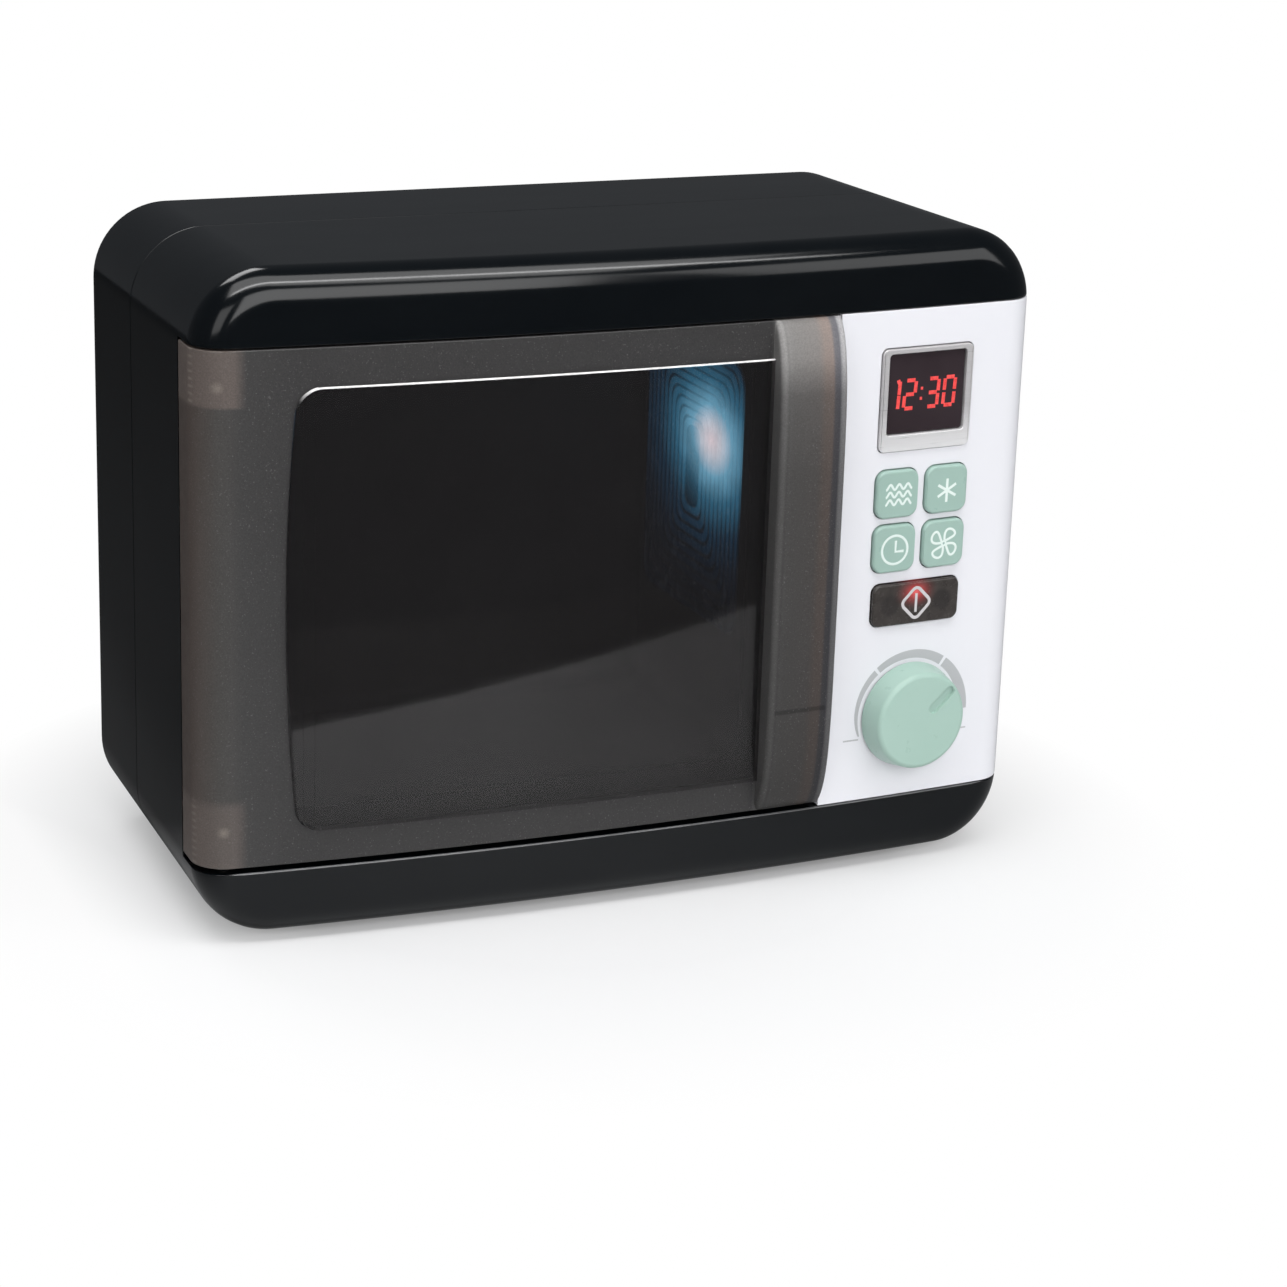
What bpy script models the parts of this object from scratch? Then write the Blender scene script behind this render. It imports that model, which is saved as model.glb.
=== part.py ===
"""Toy microwave oven: a two-part housing, a wrap-around door, push buttons and a clicking timer knob."""
import math

import bmesh
import bpy
from mathutils import Matrix, Vector

# Housing. It is modelled with the front edge of its sides at Y zero, standing on its feet at Z zero,
# and moved at the end so that the origin is the middle of its base.
BODY_WIDTH = 0.302
BODY_HEIGHT = 0.2256
BODY_DEPTH = 0.1355
GROUND_GAP = 0.002
CORNER_RADIUS = 0.0265
FRONT_FILLET = 0.011
REAR_FILLET = 0.0027
FRONT_BOW = 0.0073
REAR_TAPER = 0.0028
WALL = 0.0024
SEAM_SHARE = 0.6015
LAP_LENGTH = 0.003
LAP_WALL = 0.0011
CLEARANCE = 0.0003
OVERRUN = 0.02
TINY = 0.000003
CORNER_STEPS = 6
FILLET_STEPS = 4
REAR_FILLET_STEPS = 2
BOW_STEPS = 8
BOSS_STEPS = 12
BORE_STEPS = 8

# Front recess that takes the door and the control panel, heights above the underside
SILL_HEIGHT = 0.0243
LINTEL_HEIGHT = 0.0244
RECESS_DEPTH = 0.0201
MOUTH_SIDE_INSET = 0.034
MOUTH_GRIP_INSET = 0.0188
MOUTH_SILL = 0.0117
MOUTH_HEAD = 0.0092
MOUTH_RADIUS = 0.009
BAY_MARGIN = 0.012
BAY_RADIUS = 0.006

# Door
DOOR_GAP_BELOW = 0.002
DOOR_GAP_ABOVE = 0.0007
DOOR_BACK = 0.0196
DOOR_WALL = 0.0024
HINGE_INSET = 0.0112
HINGE_DEPTH = 0.010
HINGE_BOSS_RADIUS = 0.0062
TOP_LUG_HEIGHT = 0.0185
BOTTOM_LUG_HEIGHT = 0.0225
LUG_LENGTH = 0.0205
PIN_RADIUS = 0.002
PIN_HEAD_RADIUS = 0.0034
PIN_HEAD_HEIGHT = 0.0012
PIN_BOSS_HEIGHT = 0.008
PIN_TIP_GAP = 0.003
PANE_SIDE_INSET = 0.0326
PANE_GRIP_GAP = 0.0014
PANE_FOOT_INSET = 0.0111
PANE_HEAD_INSET = 0.0127
PANE_RADIUS = 0.008
PANE_RISE = 0.0012
PANE_BULGE = 0.0038
PANE_STEPS = 8
GRIP_WIDTH = 0.0248
GRIP_RISE = 0.0093
GRIP_POWER = 4
GRIP_SHOULDER_POWER = 0.85
GRIP_EDGE = 0.0026
GRIP_WALL = 0.0022
GRIP_SINK = 0.0003
GRIP_STEPS = 16
GRIP_RIB_HEIGHT = 0.0638
GRIP_RIB = 0.0018

# Door catch: a flat tongue on the door between two level spring leaves
CATCH_INSET = 0.0088
CATCH_HEIGHT = 0.1125
TONGUE_THICKNESS = 0.003
TONGUE_WIDTH = 0.007
TONGUE_REACH = 0.031
TONGUE_SWING_ROOM = 0.0012
TONGUE_WEB = 0.0018
CATCH_LEAF = 0.0008
CATCH_BASE = 0.001
CATCH_LENGTH = 0.008
CATCH_POCKET = 0.0014

# Control panel and what it carries
PANEL_WIDTH = 0.0787
PANEL_GAP = 0.0005
PANEL_GAP_BELOW = 0.0004
PANEL_GAP_ABOVE = 0.0003
PANEL_WALL = 0.0022
CONTROL_INSET = 0.044
CONTROL_GAP_SHARES = (0.2697, 0.3333, 0.0637, 0.1029)
PANEL_BOSS_RADIUS = 0.0032
PANEL_BOSS_INSET = 0.0075
PANEL_BOSS_SIDE_INSET = 0.0118
BEZEL_WIDTH = 0.0362
BEZEL_HEIGHT = 0.0361
BEZEL_RADIUS = 0.0022
BEZEL_RISE = 0.0009
BEZEL_FLANGE = 0.0015
DISPLAY_WIDTH = 0.0303
DISPLAY_HEIGHT = 0.0279
DISPLAY_HEAD = 0.0021
DISPLAY_RADIUS = 0.001
DISPLAY_SINK = 0.0003
DISPLAY_THICKNESS = 0.0025
BUTTON_WIDTH = 0.0167
BUTTON_HEIGHT = 0.017
BUTTON_PITCH_X = 0.0199
BUTTON_PITCH_Z = 0.0196
BUTTON_RADIUS = 0.0038
BUTTON_RISE = 0.0016
BUTTON_FLANGE = 0.0009
FLANGE_THICKNESS = 0.0012
BUTTON_STEM_RADIUS = 0.003
BUTTON_TRAVEL = 0.0015
START_WIDTH = 0.0349
START_HEIGHT = 0.0152
START_RADIUS = 0.003
START_STEM_SPACING = 0.022

# Circuit board behind the panel
BOARD_FRONT = 0.0096
BOARD_THICKNESS = 0.0016
BOARD_WIDTH = 0.053
BOARD_FOOT = 0.0096
BOARD_HOLE_INSET = 0.0035
BOARD_POST_RADIUS = 0.0028
PAD_THICKNESS = 0.0008
PAD_MARGIN = 0.002
DOME_RADIUS = 0.0042
DOME_TOP_RADIUS = 0.0028
DOME_HEIGHT = 0.0012
DISPLAY_MODULE_DEPTH = 0.0085
LED_RADIUS = 0.0025
LED_LENGTH = 0.0055
LED_RIM = 0.0004
LED_RIM_HEIGHT = 0.001
CHIP_WIDTH = 0.014
CHIP_HEIGHT = 0.008
CHIP_DEPTH = 0.0022
CHIP_DROP = 0.0375
CHIP_RADIUS = 0.0026

# Timer knob, turned about an axis square to the bowed panel
KNOB_RADIUS = 0.0192
KNOB_FACE_RADIUS = 0.0174
KNOB_RISE = 0.010
KNOB_EDGE = 0.0016
KNOB_WALL = 0.0018
KNOB_STEM_RADIUS = 0.005
KNOB_GAP = 0.0006
KNOB_STEPS = 32
POINTER_ANGLE = math.radians(42)
POINTER_LENGTH = 0.0125
POINTER_WIDTH = 0.0032
POINTER_DEPTH = 0.0009
POINTER_EDGE_GAP = 0.0012
POINTER_END_SHARE = 0.45
BEARING_RADIUS = 0.0075
BEARING_LENGTH = 0.0085
COLLAR_RADIUS = 0.0095
COLLAR_TOOTH = 0.0009
COLLAR_TEETH = 24
COLLAR_THICKNESS = 0.0034
TAB_REACH = 0.0135
TAB_WIDTH = 0.0036
STOP_RADIUS = 0.0014
KNOB_TURN_DOWN = math.radians(61)
KNOB_TURN_UP = math.radians(156)
CLICKER_THICKNESS = 0.0005
CLICKER_LENGTH = 0.017
CLICKER_NOSE = 0.0009

# Oven cavity and its lamp
LINER_WALL = 0.0018
LINER_BACK_ROOM = 0.0195
LINER_FLANGE = 0.0042
LINER_RADIUS = 0.007
LINER_DRAFT = 0.0012
LENS_FRONT = 0.028
LENS_BACK_INSET = 0.008
LENS_HEIGHT = 0.098
LENS_HEAD_INSET = 0.016
LENS_RADIUS = 0.008
LENS_THICKNESS = 0.0012
LENS_FLANGE = 0.003
LENS_RIB_PITCH = 0.0035
LENS_RIB_WIDTH = 0.0012
LENS_RIB_RISE = 0.0008
LENS_RINGS = 10
LAMP_Y = 0.052
LAMP_DROP = 0.038
LAMP_BOARD_SIZE = 0.014
LAMP_HOLDER_WALL = 0.0012

# Rear housing: batteries and speaker
CELL_RADIUS = 0.0071
CELL_LENGTH = 0.0492
CELL_NUB_RADIUS = 0.0026
CELL_NUB_LENGTH = 0.0013
CELL_PITCH = 0.0152
CELL_COUNT = 3
CELL_END_ROOM = 0.0035
BATTERY_INSET = 0.050
BATTERY_HEIGHT = 0.056
BATTERY_WALL = 0.0018
BATTERY_FLANGE = 0.004
CONTACT_THICKNESS = 0.0006
CONTACT_WIDTH = 0.011
CONTACT_TIP_SHARE = 0.2
CONTACT_DOME_SHARE = 0.34
COVER_LAP = 0.002
COVER_RADIUS = 0.004
COVER_HEAD = 0.0095
COVER_BOSS_RADIUS = 0.0046
COVER_BOSS_DEPTH = 0.0016
BOX_BOSS_LENGTH = 0.012
SPEAKER_HEIGHT = 0.150
SPEAKER_RADIUS = 0.020
SPEAKER_DEPTH = 0.0115
SPEAKER_RING_WALL = 0.0018
SPEAKER_RING_HEIGHT = 0.006
SPEAKER_STEPS = 24
GRILLE_RADIUS = 0.0165
GRILLE_SLOT = 0.0022
GRILLE_PITCH = 0.0047
GRILLE_ROWS = 7
SLOT_END_SHARE = 0.4
RIB_THICKNESS = 0.0024
RIB_PLACE_SHARES = (0.335, 0.865)
RIB_HEIGHT = 0.120

# Fasteners and feet
SCREW_RADIUS = 0.0014
SCREW_HEAD_RADIUS = 0.0028
SCREW_HEAD_HEIGHT = 0.0018
PANEL_SCREW_LENGTH = 0.008
BOARD_SCREW_LENGTH = 0.0062
COVER_SCREW_LENGTH = 0.0075
BOSS_RADIUS = 0.0046
BOSS_WEB = 0.0016
BOSS_WEB_REACH = 0.012
BOSS_START = 0.036
WELL_SEAT = 0.0145
HOUSING_SCREW_LENGTH = 0.032
FOOT_RADIUS = 0.008
FOOT_INSET = 0.039
FOOT_FRONT = 0.026
FOOT_REAR_INSET = 0.0235
FOOT_PEG_RADIUS = 0.002
FOOT_PEG_HEIGHT = 0.008
FOOT_STEPS = 16
WIRE_RADIUS = 0.0007
WIRE_SPACING = 0.005
WIRE_SAG = 0.018
WIRE_STEPS = 8

# Places worked out from the sizes above, with heights measured from the underside
RECESS_BOTTOM = SILL_HEIGHT
RECESS_TOP = BODY_HEIGHT - LINTEL_HEIGHT
DOOR_RIGHT = BODY_WIDTH / 2 - PANEL_WIDTH - PANEL_GAP
DOOR_BOTTOM = RECESS_BOTTOM + DOOR_GAP_BELOW
DOOR_TOP = RECESS_TOP - DOOR_GAP_ABOVE
MOUTH_LEFT = MOUTH_SIDE_INSET - BODY_WIDTH / 2
MOUTH_RIGHT = DOOR_RIGHT - MOUTH_GRIP_INSET
MOUTH_BOTTOM = RECESS_BOTTOM + MOUTH_SILL
MOUTH_TOP = RECESS_TOP - MOUTH_HEAD
GRIP_LEFT = DOOR_RIGHT - GRIP_WIDTH
PANE_LEFT = PANE_SIDE_INSET - BODY_WIDTH / 2
PANE_RIGHT = GRIP_LEFT - PANE_GRIP_GAP
PANE_BOTTOM = DOOR_BOTTOM + PANE_FOOT_INSET
PANE_TOP = DOOR_TOP - PANE_HEAD_INSET
CATCH_X = DOOR_RIGHT - CATCH_INSET
PANEL_BOTTOM = RECESS_BOTTOM + PANEL_GAP_BELOW
PANEL_TOP = RECESS_TOP - PANEL_GAP_ABOVE
CONTROL_X = BODY_WIDTH / 2 - CONTROL_INSET
SEAM_DEPTH = BODY_DEPTH * SEAM_SHARE
LINER_DEPTH = BODY_DEPTH - LINER_BACK_ROOM
LENS_BACK = LINER_DEPTH - LENS_BACK_INSET
FOOT_REAR = BODY_DEPTH - FOOT_REAR_INSET
LENS_TOP = MOUTH_TOP - LENS_HEAD_INSET
LENS_BOTTOM = LENS_TOP - LENS_HEIGHT
LAMP_HEIGHT = LENS_TOP - LAMP_DROP
BATTERY_X = BODY_WIDTH / 2 - BATTERY_INSET
FOOT_SPREAD = BODY_WIDTH / 2 - FOOT_INSET

# The column of controls: the room between them is shared out from the knob upwards
BUTTONS_HEIGHT = BUTTON_PITCH_Z + BUTTON_HEIGHT
CONTROL_ROOM = (
    PANEL_TOP - PANEL_WALL - CLEARANCE - PANEL_BOTTOM - 2 * KNOB_RADIUS
    - START_HEIGHT - BUTTONS_HEIGHT - 4 * BUTTON_FLANGE - BEZEL_HEIGHT - 2 * BEZEL_FLANGE
)
KNOB_HEIGHT_ON_PANEL = PANEL_BOTTOM + CONTROL_ROOM * CONTROL_GAP_SHARES[0] + KNOB_RADIUS
START_BOTTOM = KNOB_HEIGHT_ON_PANEL + KNOB_RADIUS + CONTROL_ROOM * CONTROL_GAP_SHARES[1] + BUTTON_FLANGE
START_TOP = START_BOTTOM + START_HEIGHT
START_MIDDLE = (START_BOTTOM + START_TOP) / 2
BUTTONS_BOTTOM = START_TOP + 2 * BUTTON_FLANGE + CONTROL_ROOM * CONTROL_GAP_SHARES[2]
BUTTONS_TOP = BUTTONS_BOTTOM + BUTTONS_HEIGHT
BUTTON_ROWS_HEIGHT = (BUTTONS_BOTTOM + BUTTONS_TOP) / 2
BEZEL_BOTTOM = BUTTONS_TOP + BUTTON_FLANGE + CONTROL_ROOM * CONTROL_GAP_SHARES[3] + BEZEL_FLANGE
BEZEL_TOP = BEZEL_BOTTOM + BEZEL_HEIGHT
DISPLAY_TOP = BEZEL_TOP - DISPLAY_HEAD
DISPLAY_BOTTOM = DISPLAY_TOP - DISPLAY_HEIGHT
BOARD_BOTTOM = START_BOTTOM - BOARD_FOOT
BOARD_TOP = PANEL_TOP - PANEL_BOSS_INSET - PANEL_BOSS_RADIUS - CLEARANCE
CHIP_HEIGHT_ON_BOARD = BEZEL_TOP - CHIP_DROP

# Other places
MIDDLE_Z = GROUND_GAP + BODY_HEIGHT / 2
HINGE_X = HINGE_INSET - BODY_WIDTH / 2
HINGE_SWEEP = math.hypot(HINGE_INSET, DOOR_BACK - HINGE_DEPTH)
TROUGH_RADIUS = HINGE_SWEEP + CLEARANCE
PANEL_LEFT = DOOR_RIGHT + PANEL_GAP
BULKHEAD_BACK = RECESS_DEPTH + WALL
LINER_FRONT = BULKHEAD_BACK + CLEARANCE
BOSS_HOLE = SCREW_RADIUS + CLEARANCE
REAR_INNER = BODY_DEPTH - WALL
ALONG = {
    "X": Matrix.Rotation(math.pi / 2, 4, "Y"),
    "Y": Matrix.Rotation(-math.pi / 2, 4, "X"),
    "Z": Matrix(),
}


def level(height):
    """World height of a place that is measured from the underside of the housing."""
    return GROUND_GAP + height


def clear_scene():
    """Remove what a new file holds, and make the two collections."""
    for item in list(bpy.data.objects):
        bpy.data.objects.remove(item)
    for name in ("toy_microwave", "cutters"):
        bpy.context.scene.collection.children.link(bpy.data.collections.new(name))


def material(name, colour, roughness, metallic=0, alpha=1):
    """Plain surface of one material, made once and shared."""
    known = bpy.data.materials.get(name)
    if known:
        return known
    made = bpy.data.materials.new(name)
    made.use_nodes = True
    made.diffuse_color = (*colour, alpha)
    surface = made.node_tree.nodes["Principled BSDF"]
    surface.inputs["Base Color"].default_value = (*colour, 1)
    surface.inputs["Roughness"].default_value = roughness
    surface.inputs["Metallic"].default_value = metallic
    surface.inputs["Alpha"].default_value = alpha
    return made


def gloss_black():
    return material("gloss_black_plastic", (0.02, 0.024, 0.028), 0.25)


def smoke_plastic():
    return material("smoke_translucent_plastic", (0.16, 0.15, 0.15), 0.4, 0, 0.6)


def white_plastic():
    return material("white_plastic", (0.86, 0.87, 0.9), 0.35)


def mint_plastic():
    return material("mint_plastic", (0.42, 0.66, 0.54), 0.4)


def silver_plastic():
    return material("silver_plastic", (0.6, 0.6, 0.62), 0.3, 0.8)


def dark_lens():
    return material("dark_lens", (0.03, 0.02, 0.022), 0.1)


def ruby_smoke():
    return material("ruby_smoke_lens", (0.1, 0.03, 0.03), 0.15)


def steel():
    return material("steel", (0.55, 0.55, 0.56), 0.3, 1)


def clear_plastic():
    return material("clear_plastic", (0.75, 0.85, 0.9), 0.15, 0, 0.5)


def board_green():
    return material("board_green", (0.05, 0.2, 0.09), 0.5)


def grey_rubber():
    return material("grey_rubber", (0.25, 0.25, 0.26), 0.8)


def inner_grey():
    return material("inner_grey_plastic", (0.1, 0.1, 0.11), 0.5)


def as_object(name, shape, finish=None):
    """Object of a finished shape. One without a finish is a tool that cuts or joins."""
    bmesh.ops.recalc_face_normals(shape, faces=shape.faces)
    data = bpy.data.meshes.new(name)
    shape.to_mesh(data)
    shape.free()
    item = bpy.data.objects.new(name, data)
    if finish:
        data.materials.append(finish)
        bpy.data.collections["toy_microwave"].objects.link(item)
    else:
        bpy.data.collections["cutters"].objects.link(item)
        item.hide_render = True
        item.display_type = "WIRE"
    return item


def combine(item, tool, operation):
    """Boolean of an object and a tool that stays in the cutters' collection."""
    step = item.modifiers.new(f"{operation.lower()}_{tool.name}", "BOOLEAN")
    step.operation = operation
    step.object = tool
    step.solver = "EXACT"
    return item


def cut(item, shape, name="cut"):
    return combine(item, as_object(f"{item.name}_{name}", shape), "DIFFERENCE")


def join(item, shape, name="join"):
    return combine(item, as_object(f"{item.name}_{name}", shape), "UNION")


def keep(item, shape, name="keep"):
    return combine(item, as_object(f"{item.name}_{name}", shape), "INTERSECT")


def add_block(shape, low, high):
    """Box between two opposite corners."""
    low, high = Vector(low), Vector(high)
    place = Matrix.Translation((low + high) / 2) @ Matrix.Diagonal((*(high - low), 1))
    return bmesh.ops.create_cube(shape, size=1, matrix=place)["verts"]


def block(low, high):
    shape = bmesh.new()
    add_block(shape, low, high)
    return shape


def add_rounded_block(shape, low, high, axis, radius, steps=3):
    """Box with the four edges along one axis rounded."""
    verts = add_block(shape, low, high)
    index = "XYZ".index(axis)
    span = abs(high[index] - low[index])
    edges = {edge for vert in verts for edge in vert.link_edges}
    along = [edge for edge in edges if abs(edge.verts[0].co[index] - edge.verts[1].co[index]) > span / 2]
    bmesh.ops.bevel(shape, geom=along, offset=radius, segments=steps, profile=0.5, affect="EDGES")


def rounded_block(low, high, axis, radius, steps=3):
    shape = bmesh.new()
    add_rounded_block(shape, low, high, axis, radius, steps)
    return shape


def add_rod(shape, axis, centre, length, radius, steps=16, tip_radius=None):
    """Cylinder or cone that starts at centre and runs along an axis."""
    tip = radius if tip_radius is None else tip_radius
    place = Matrix.Translation(centre) @ ALONG[axis] @ Matrix.Translation((0, 0, length / 2))
    bmesh.ops.create_cone(
        shape, cap_ends=True, segments=steps, radius1=radius, radius2=tip, depth=length, matrix=place
    )


def rod(axis, centre, length, radius, steps=16, tip_radius=None):
    shape = bmesh.new()
    add_rod(shape, axis, centre, length, radius, steps, tip_radius)
    return shape


def profile_mesh(name, profile, finish):
    """Open profile on the XZ plane, down the outer side from the top to the foot."""
    data = bpy.data.meshes.new(name)
    points = [(radius, 0, height) for radius, height in profile]
    data.from_pydata(points, [(index, index + 1) for index in range(len(points) - 1)], [])
    data.materials.append(finish)
    return data


def turned(name, data, steps, place=None):
    """Object that turns a profile about its Z axis with a Screw modifier."""
    item = bpy.data.objects.new(name, data)
    bpy.data.collections["toy_microwave"].objects.link(item)
    turn = item.modifiers.new("turn", "SCREW")
    turn.steps = steps
    turn.render_steps = steps
    turn.use_merge_vertices = True
    turn.merge_threshold = TINY
    if place:
        item.matrix_world = place
    return item


def screw_profile(length):
    """Sloping head above zero and a pointed shank below it."""
    return [
        (0, SCREW_HEAD_HEIGHT), (SCREW_HEAD_RADIUS - SCREW_HEAD_HEIGHT / 2, SCREW_HEAD_HEIGHT),
        (SCREW_HEAD_RADIUS, 0), (SCREW_RADIUS, 0), (SCREW_RADIUS, SCREW_RADIUS - length), (0, -length),
    ]


def screws(name, length, seats, steps=8):
    """Like screws driven from the rear, each with its head resting on its seat."""
    data = profile_mesh(name, screw_profile(length), steel())
    for index, seat in enumerate(seats, start=1):
        turned(f"{name}_{index}", data, steps, Matrix.Translation(seat) @ ALONG["Y"])


def bow(x):
    """How far the bowed front stands forward of the side edges at a given X."""
    return FRONT_BOW * max(0, 1 - (2 * x / BODY_WIDTH) ** 2)


def envelope(inset):
    """Outer form of the housing moved inwards by inset: bowed front, filleted rim, drawn in to the rear."""
    half_width = BODY_WIDTH / 2 - inset
    half_height = BODY_HEIGHT / 2 - inset
    low = (-half_width, inset, MIDDLE_Z - half_height)
    high = (half_width, BODY_DEPTH - inset, MIDDLE_Z + half_height)
    shape = rounded_block(low, high, "Y", CORNER_RADIUS - inset, CORNER_STEPS)
    flat_half = half_width - (CORNER_RADIUS - inset)
    for step in range(BOW_STEPS + 1):
        x = flat_half * (2 * step / BOW_STEPS - 1)
        split_at(shape, None, (x, 0, 0), (1, 0, 0))
    shape.normal_update()
    front = (inset, FRONT_FILLET - inset, FILLET_STEPS)
    rear = (BODY_DEPTH - inset, REAR_FILLET - inset, REAR_FILLET_STEPS)
    for end, offset, steps in (front, rear):
        rim = [
            edge for edge in shape.edges
            if all(abs(vert.co.y - end) < TINY for vert in edge.verts)
            and any(abs(face.normal.y) < 0.5 for face in edge.link_faces)
        ]
        bmesh.ops.bevel(shape, geom=rim, offset=offset, segments=steps, profile=0.5, affect="EDGES")
    split_front_corners(shape, inset, flat_half)
    for vert in shape.verts:
        if vert.co.y < FRONT_FILLET + TINY:
            vert.co.y -= bow(vert.co.x)
    for vert in shape.verts:
        draw_in = REAR_TAPER * vert.co.y / BODY_DEPTH
        vert.co.x *= 1 - draw_in / (BODY_WIDTH / 2)
        vert.co.z = MIDDLE_Z + (vert.co.z - MIDDLE_Z) * (1 - draw_in / (BODY_HEIGHT / 2))
    return shape


def split_front_corners(shape, inset, flat_half):
    """Upright strips in the rounded ends of the flat front, so that each stays flat when it is bowed."""
    corner_verts = {vert for face in front_faces(shape, inset) for vert in face.verts}
    stations = {round(vert.co.x, 7) for vert in corner_verts if abs(vert.co.x) > flat_half + TINY}
    for x in sorted(stations):
        faces = front_faces(shape, inset)
        edges = list({edge for face in faces for edge in face.edges})
        verts = list({vert for face in faces for vert in face.verts})
        split_at(shape, verts + edges + faces, (x, 0, 0), (1, 0, 0))


def front_faces(shape, inset):
    """Faces of an envelope's flat front."""
    return [face for face in shape.faces if all(abs(vert.co.y - inset) < TINY for vert in face.verts)]


def split_at(shape, parts, point, normal):
    """Cut edges into a shape along a plane. Parts is what to cut, or None for all of it."""
    if parts is None:
        parts = shape.verts[:] + shape.edges[:] + shape.faces[:]
    bmesh.ops.bisect_plane(shape, geom=parts, dist=TINY, plane_co=point, plane_no=normal)


def layer(name, outer, inner, prism, finish=None):
    """Part of the wall between two insets of the envelope, within an upright prism."""
    item = as_object(name, envelope(outer), finish)
    keep(item, prism, "outline")
    cut(item, envelope(inner), "back")
    return item


def corner_places(inset):
    """Centres, in X and Z, of what stands in the four rounded corners of the housing."""
    reach = (CORNER_RADIUS - inset) * math.sqrt(0.5)
    side = BODY_WIDTH / 2 - CORNER_RADIUS + reach
    rise = BODY_HEIGHT / 2 - CORNER_RADIUS + reach
    return [(sx * side, MIDDLE_Z + sz * rise) for sx in (-1, 1) for sz in (-1, 1)]


def boss_places():
    return corner_places(WALL + REAR_TAPER + BOSS_RADIUS)


def inner_fittings(name, shape):
    """Bosses and ribs of a housing half, trimmed to the inside of its wall."""
    return keep(as_object(name, shape), envelope(WALL / 2), "limit")


def add_screw_bosses(shape, start, end):
    """Bosses of the housing screws between two Y places."""
    for x, z in boss_places():
        add_rod(shape, "Y", (x, start, z), end - start, BOSS_RADIUS, BOSS_STEPS)


def add_screw_webs(shape, start, end):
    """Webs between the bosses of the housing screws and the side walls."""
    for x, z in boss_places():
        left, right = sorted((x, x + math.copysign(BOSS_WEB_REACH, x)))
        add_block(shape, (left, start, z - BOSS_WEB / 2), (right, end, z + BOSS_WEB / 2))


def recess_shape(grow=0):
    """Space in front of the bulkhead, with the trough in which the hinge side of the door turns."""
    bottom, top = level(RECESS_BOTTOM) - grow, level(RECESS_TOP) + grow
    half = BODY_WIDTH / 2 + OVERRUN
    item = as_object("recess", block((-half, -OVERRUN, bottom), (half, RECESS_DEPTH + grow, top)))
    join(item, rod("Z", (HINGE_X, HINGE_DEPTH, bottom), top - bottom, TROUGH_RADIUS + grow, 32), "trough")
    return item


def mouth_prism(y_start, y_end, grow=0):
    """Rounded outline of the cavity mouth."""
    low = (MOUTH_LEFT - grow, y_start, level(MOUTH_BOTTOM) - grow)
    high = (MOUTH_RIGHT + grow, y_end, level(MOUTH_TOP) + grow)
    return rounded_block(low, high, "Y", MOUTH_RADIUS + grow, 5)


def pin_bosses(shape, radius, overlap):
    """Upright bosses above and below the recess that hold the two hinge pins."""
    for floor, sign in ((level(RECESS_TOP) + WALL, 1), (level(RECESS_BOTTOM) - WALL, -1)):
        start = floor - sign * overlap if sign > 0 else floor - PIN_BOSS_HEIGHT
        add_rod(shape, "Z", (HINGE_X, HINGE_DEPTH, start), PIN_BOSS_HEIGHT + overlap, radius, 20)


def front_shell():
    """Front housing: bowed frame, recess with bulkhead, cavity mouth and screw bosses."""
    shell = as_object("front_shell", envelope(0), gloss_black())
    half = BODY_WIDTH / 2 + OVERRUN
    high = BODY_HEIGHT + OVERRUN
    seam = SEAM_DEPTH - CLEARANCE / 2
    hollow = as_object("front_shell_hollow", envelope(WALL))
    combine(hollow, recess_shape(WALL), "DIFFERENCE")
    combine(shell, hollow, "DIFFERENCE")
    lap = as_object("front_shell_lap", envelope(LAP_WALL))
    cut(lap, block((-half, -OVERRUN, -OVERRUN), (half, seam - LAP_LENGTH - CLEARANCE, high)), "front")
    combine(shell, lap, "DIFFERENCE")
    combine(shell, recess_shape(), "DIFFERENCE")
    boss_end = SEAM_DEPTH - LAP_LENGTH - CLEARANCE
    webs = bmesh.new()
    add_screw_webs(webs, BOSS_START, boss_end)
    combine(shell, inner_fittings("front_shell_webs", webs), "UNION")
    bosses = bmesh.new()
    add_screw_bosses(bosses, BOSS_START, boss_end)
    pin_bosses(bosses, PIN_HEAD_RADIUS + CLEARANCE, WALL / 2)
    add_catch_pocket(bosses)
    combine(shell, inner_fittings("front_shell_bosses", bosses), "UNION")
    cut(shell, block((-half, seam, -OVERRUN), (half, BODY_DEPTH + OVERRUN, high)), "behind_seam")
    holes = mouth_prism(RECESS_DEPTH - OVERRUN / 2, BULKHEAD_BACK + OVERRUN / 2)
    add_bay_window(holes)
    add_front_holes(holes)
    cut(shell, holes, "holes")
    return shell


def add_bay_window(shape):
    """Opening in the bulkhead behind the control panel, for the board and the wires."""
    low = (PANEL_LEFT + BAY_MARGIN, RECESS_DEPTH - OVERRUN / 2, level(PANEL_BOTTOM) + BAY_MARGIN)
    high = (BODY_WIDTH / 2 - WALL - BAY_MARGIN, BULKHEAD_BACK + OVERRUN / 2, level(PANEL_TOP) - BAY_MARGIN)
    add_rounded_block(shape, low, high, "Y", BAY_RADIUS)


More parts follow.
